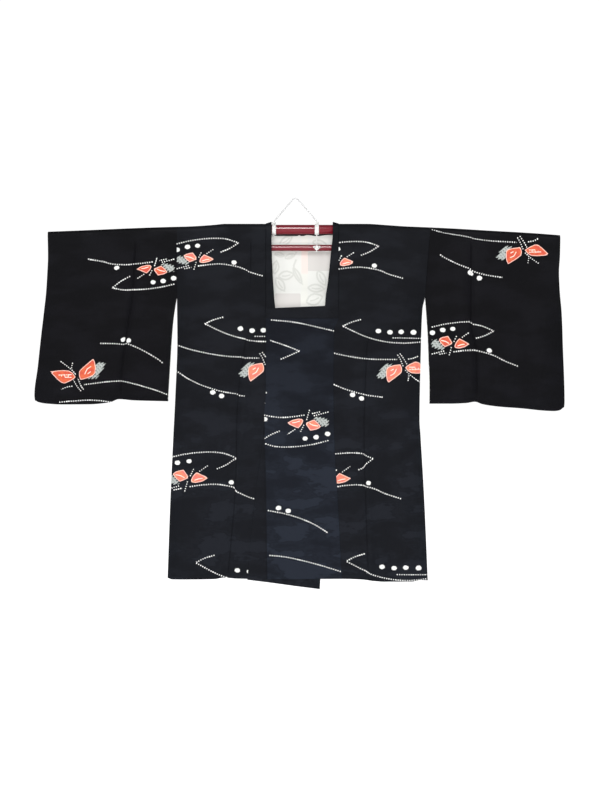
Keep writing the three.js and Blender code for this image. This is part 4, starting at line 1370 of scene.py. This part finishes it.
def make_hanger():
    tube = MID_TUBE
    lip = 0.8
    profile = [
        (tube["bore"], -tube["half"] + lip), (tube["bore"] + lip, -tube["half"]),
        (tube["radius"] - lip, -tube["half"]), (tube["radius"], -tube["half"] + lip),
        (tube["radius"], tube["half"] - lip), (tube["radius"] - lip, tube["half"]),
        (tube["bore"] + lip, tube["half"]), (tube["bore"], tube["half"] - lip),
    ]
    made = [bar_object("tube_middle", [revolve(profile, (0, 0, -tube["drop"]))], plastic,
                       "hanger_tube_mid")]
    for side, outward in OUTWARD.items():
        start = outward * (tube["half"] - SLIDE_TUBE["inserted"])
        end = follow(CUFF_EDGE[side], 100) - outward * SLIDE_TUBE["cuff_inset"]
        x = np.linspace(start, end, 90)
        path = np.stack([x, 0 * x, -axis_drop(x)], 1)
        slide = sweep(path, SLIDE_TUBE["radius"], TUBE_SIDES, end_round=6)
        made.append(bar_object(f"tube_sliding_{side}", [slide], plastic,
                               f"hanger_tube_{side}"))
    half = LOWER_BAR["half"]
    x = np.concatenate([[-half, -half + 0.6, -half + 1.6, -half + 3], np.linspace(-half + 6, half - 6, 30),
                        [half - 3, half - 1.6, half - 0.6, half]])
    path = np.stack([x, 0 * x, 0 * x - LOWER_BAR["drop"]], 1)
    bar = sweep(path, LOWER_BAR["radius"], TUBE_SIDES, end_round=3)
    made.append(bar_object("bar_lower", [bar], plastic, "hanger_lower_bar"))
    return made


def make_strap(side):
    across = OUTWARD[side] * STRAP["across"]
    tie_x = TIE[side]
    inner = MID_TUBE["radius"] + STRAP["clearance"]
    outer = inner + STRAP["thickness"]
    half = STRAP["width"] / 2
    soft = 0.35
    band = revolve([
        (inner, -half + soft), (inner + soft, -half), (outer - soft, -half), (outer, -half + soft),
        (outer, half - soft), (outer - soft, half), (inner + soft, half), (inner, half - soft),
    ], (across, 0, -MID_TUBE["drop"]))
    # The tape's two ends are sewn together above the tube, in a flat tab that holds the cord.
    tab_foot = MID_TUBE["drop"] - inner - 0.6
    tab = []
    for lean in (-0.75, 0.75):
        for x in np.linspace(-half + 0.8, half - 0.8, 7):
            path = [(across + x, lean, -drop) for drop in np.linspace(STRAP["tab_top"], tab_foot, 8)]
            tab.append(sweep(path, 0.74, 8, end_round=0.7))
    ring_radius = LOWER_BAR["radius"] + STRAP["clearance"] + TIE["radius"]
    turn = np.linspace(0, 2 * np.pi, 41)
    ring_path = np.stack([tie_x + 0.5 * np.sin(turn), ring_radius * np.cos(turn),
                          ring_radius * np.sin(turn) - LOWER_BAR["drop"]], 1)
    ring = sweep_closed(ring_path[:-1], TIE["radius"], 10)
    link_path = np.stack([
        np.linspace(across, tie_x, 14), np.zeros(14),
        np.linspace(-(MID_TUBE["drop"] + inner + 0.6), -(LOWER_BAR["drop"] - ring_radius), 14)], 1)
    link = sweep(link_path, TIE["radius"], 10, 0.9, 3, 0.35)
    t = np.linspace(0, 2 * np.pi, 73)[:-1]
    knot_path = np.stack([
        tie_x + 3.0 * (np.sin(t) + 2 * np.sin(2 * t)),
        -ring_radius - TIE["ahead"] + 0.75 * np.sin(3 * t),
        1.7 * (np.cos(t) - 2 * np.cos(2 * t)) - LOWER_BAR["drop"]], 1)
    knot = sweep_closed(knot_path, 1.15, 10)
    bar_object(f"strap_and_tie_{side}", [band, *tab, ring, link, knot], tape,
               f"hanger_strap_{side}")


# ------------------------------------------------------------------------------------------
# The coat on its hanger

hanger = make_hanger()
cloth = {}
for side in OUTWARD:
    make_strap(side)
for side in OUTWARD:
    cloth[f"body_{side}"] = make_body(side)
    cloth[f"sleeve_{side}"] = make_sleeve(side)
    cloth[f"koeri_{side}"] = make_band(side)
cloth["tate_eri_over"] = make_panel(
    "tate_eri_over", lambda drop: follow(OVER_FREE_EDGE, drop),
    lambda drop: seam_at("left", drop) - SEAM_GAP / 2, FRONT_HEM, front_lift, silk_painted_sheen)
cloth["tate_eri_under"] = make_panel(
    "tate_eri_under", lambda drop: seam_at("right", drop, UNDER_HEM) + SEAM_GAP / 2,
    lambda drop: follow(UNDER_FREE_EDGE, drop), UNDER_HEM, no_lift, silk)
cloth["back_lining"] = make_lining()

# Each piece takes its name and stands in for its solid on the part's body.
for name, piece in cloth.items():
    piece.name = f"cloth_{name}"
    stand_for(piece, name)


# ------------------------------------------------------------------------------------------
# Stage and light

def make_stage():
    """A plain pale floor, wide enough to reach past the view from every side."""
    floor_z, half = -1.6, 60.0
    corners = [(-half, -half, floor_z), (half, -half, floor_z), (half, half, floor_z),
               (-half, half, floor_z)]
    mesh = bpy.data.meshes.new("studio_floor")
    mesh.from_pydata(corners, [], [(0, 1, 2, 3)])
    mesh.materials.append(stage_paper)
    add_object("studio_floor", mesh)


def make_light(name, place, aim, width, height, power, shine=False):
    """A soft panel: either one that lights all surfaces, or one that only makes them shine."""
    data = bpy.data.lights.new(name, "AREA")
    data.shape = "RECTANGLE"
    data.size = width
    data.size_y = height
    data.energy = power
    light = add_object(name, data)
    light.location = place
    light.rotation_euler = (Vector(aim) - Vector(place)).to_track_quat("-Z", "Y").to_euler()
    light.visible_glossy = shine
    light.visible_diffuse = not shine
    light.visible_camera = False


def make_world(seen, given):
    """White all round: as bright as seen in the picture, lighting the scene with less."""
    world = bpy.data.worlds.new("studio")
    world.use_nodes = True
    tree = world.node_tree
    background = tree.nodes["Background"]
    background.inputs[0].default_value = (1, 1, 1, 1)
    path = tree.nodes.new("ShaderNodeLightPath")
    strength = tree.nodes.new("ShaderNodeMapRange")
    strength.inputs["To Min"].default_value = given
    strength.inputs["To Max"].default_value = seen
    tree.links.new(path.outputs["Is Camera Ray"], strength.inputs["Value"])
    tree.links.new(strength.outputs[0], background.inputs[1])
    bpy.context.scene.world = world


make_stage()
make_light("key", (-1.2, -4.4, 3.1), (0, 0, -0.3), 5.5, 2.0, 110)
make_light("top", (-0.2, -4.3, 3.1), (0, 0, -0.1), 4.2, 0.34, 90)
make_light("strip", (-0.3, -4.3, 2.4), (0, 0, -0.1), 3.0, 0.4, 850, shine=True)
make_light("front", (0, -6.5, -0.4), (0, 0, -0.5), 3.0, 3.0, 70)
make_light("fill", (0.3, -3.6, -1.3), (0, 0, -0.75), 1.2, 0.8, 20)
make_light("back", (1.4, 4.6, 2.4), (0, 0, -0.4), 4.5, 2.0, 170)
make_world(1.05, 0.45)
bpy.context.scene.view_settings.view_transform = "Standard"
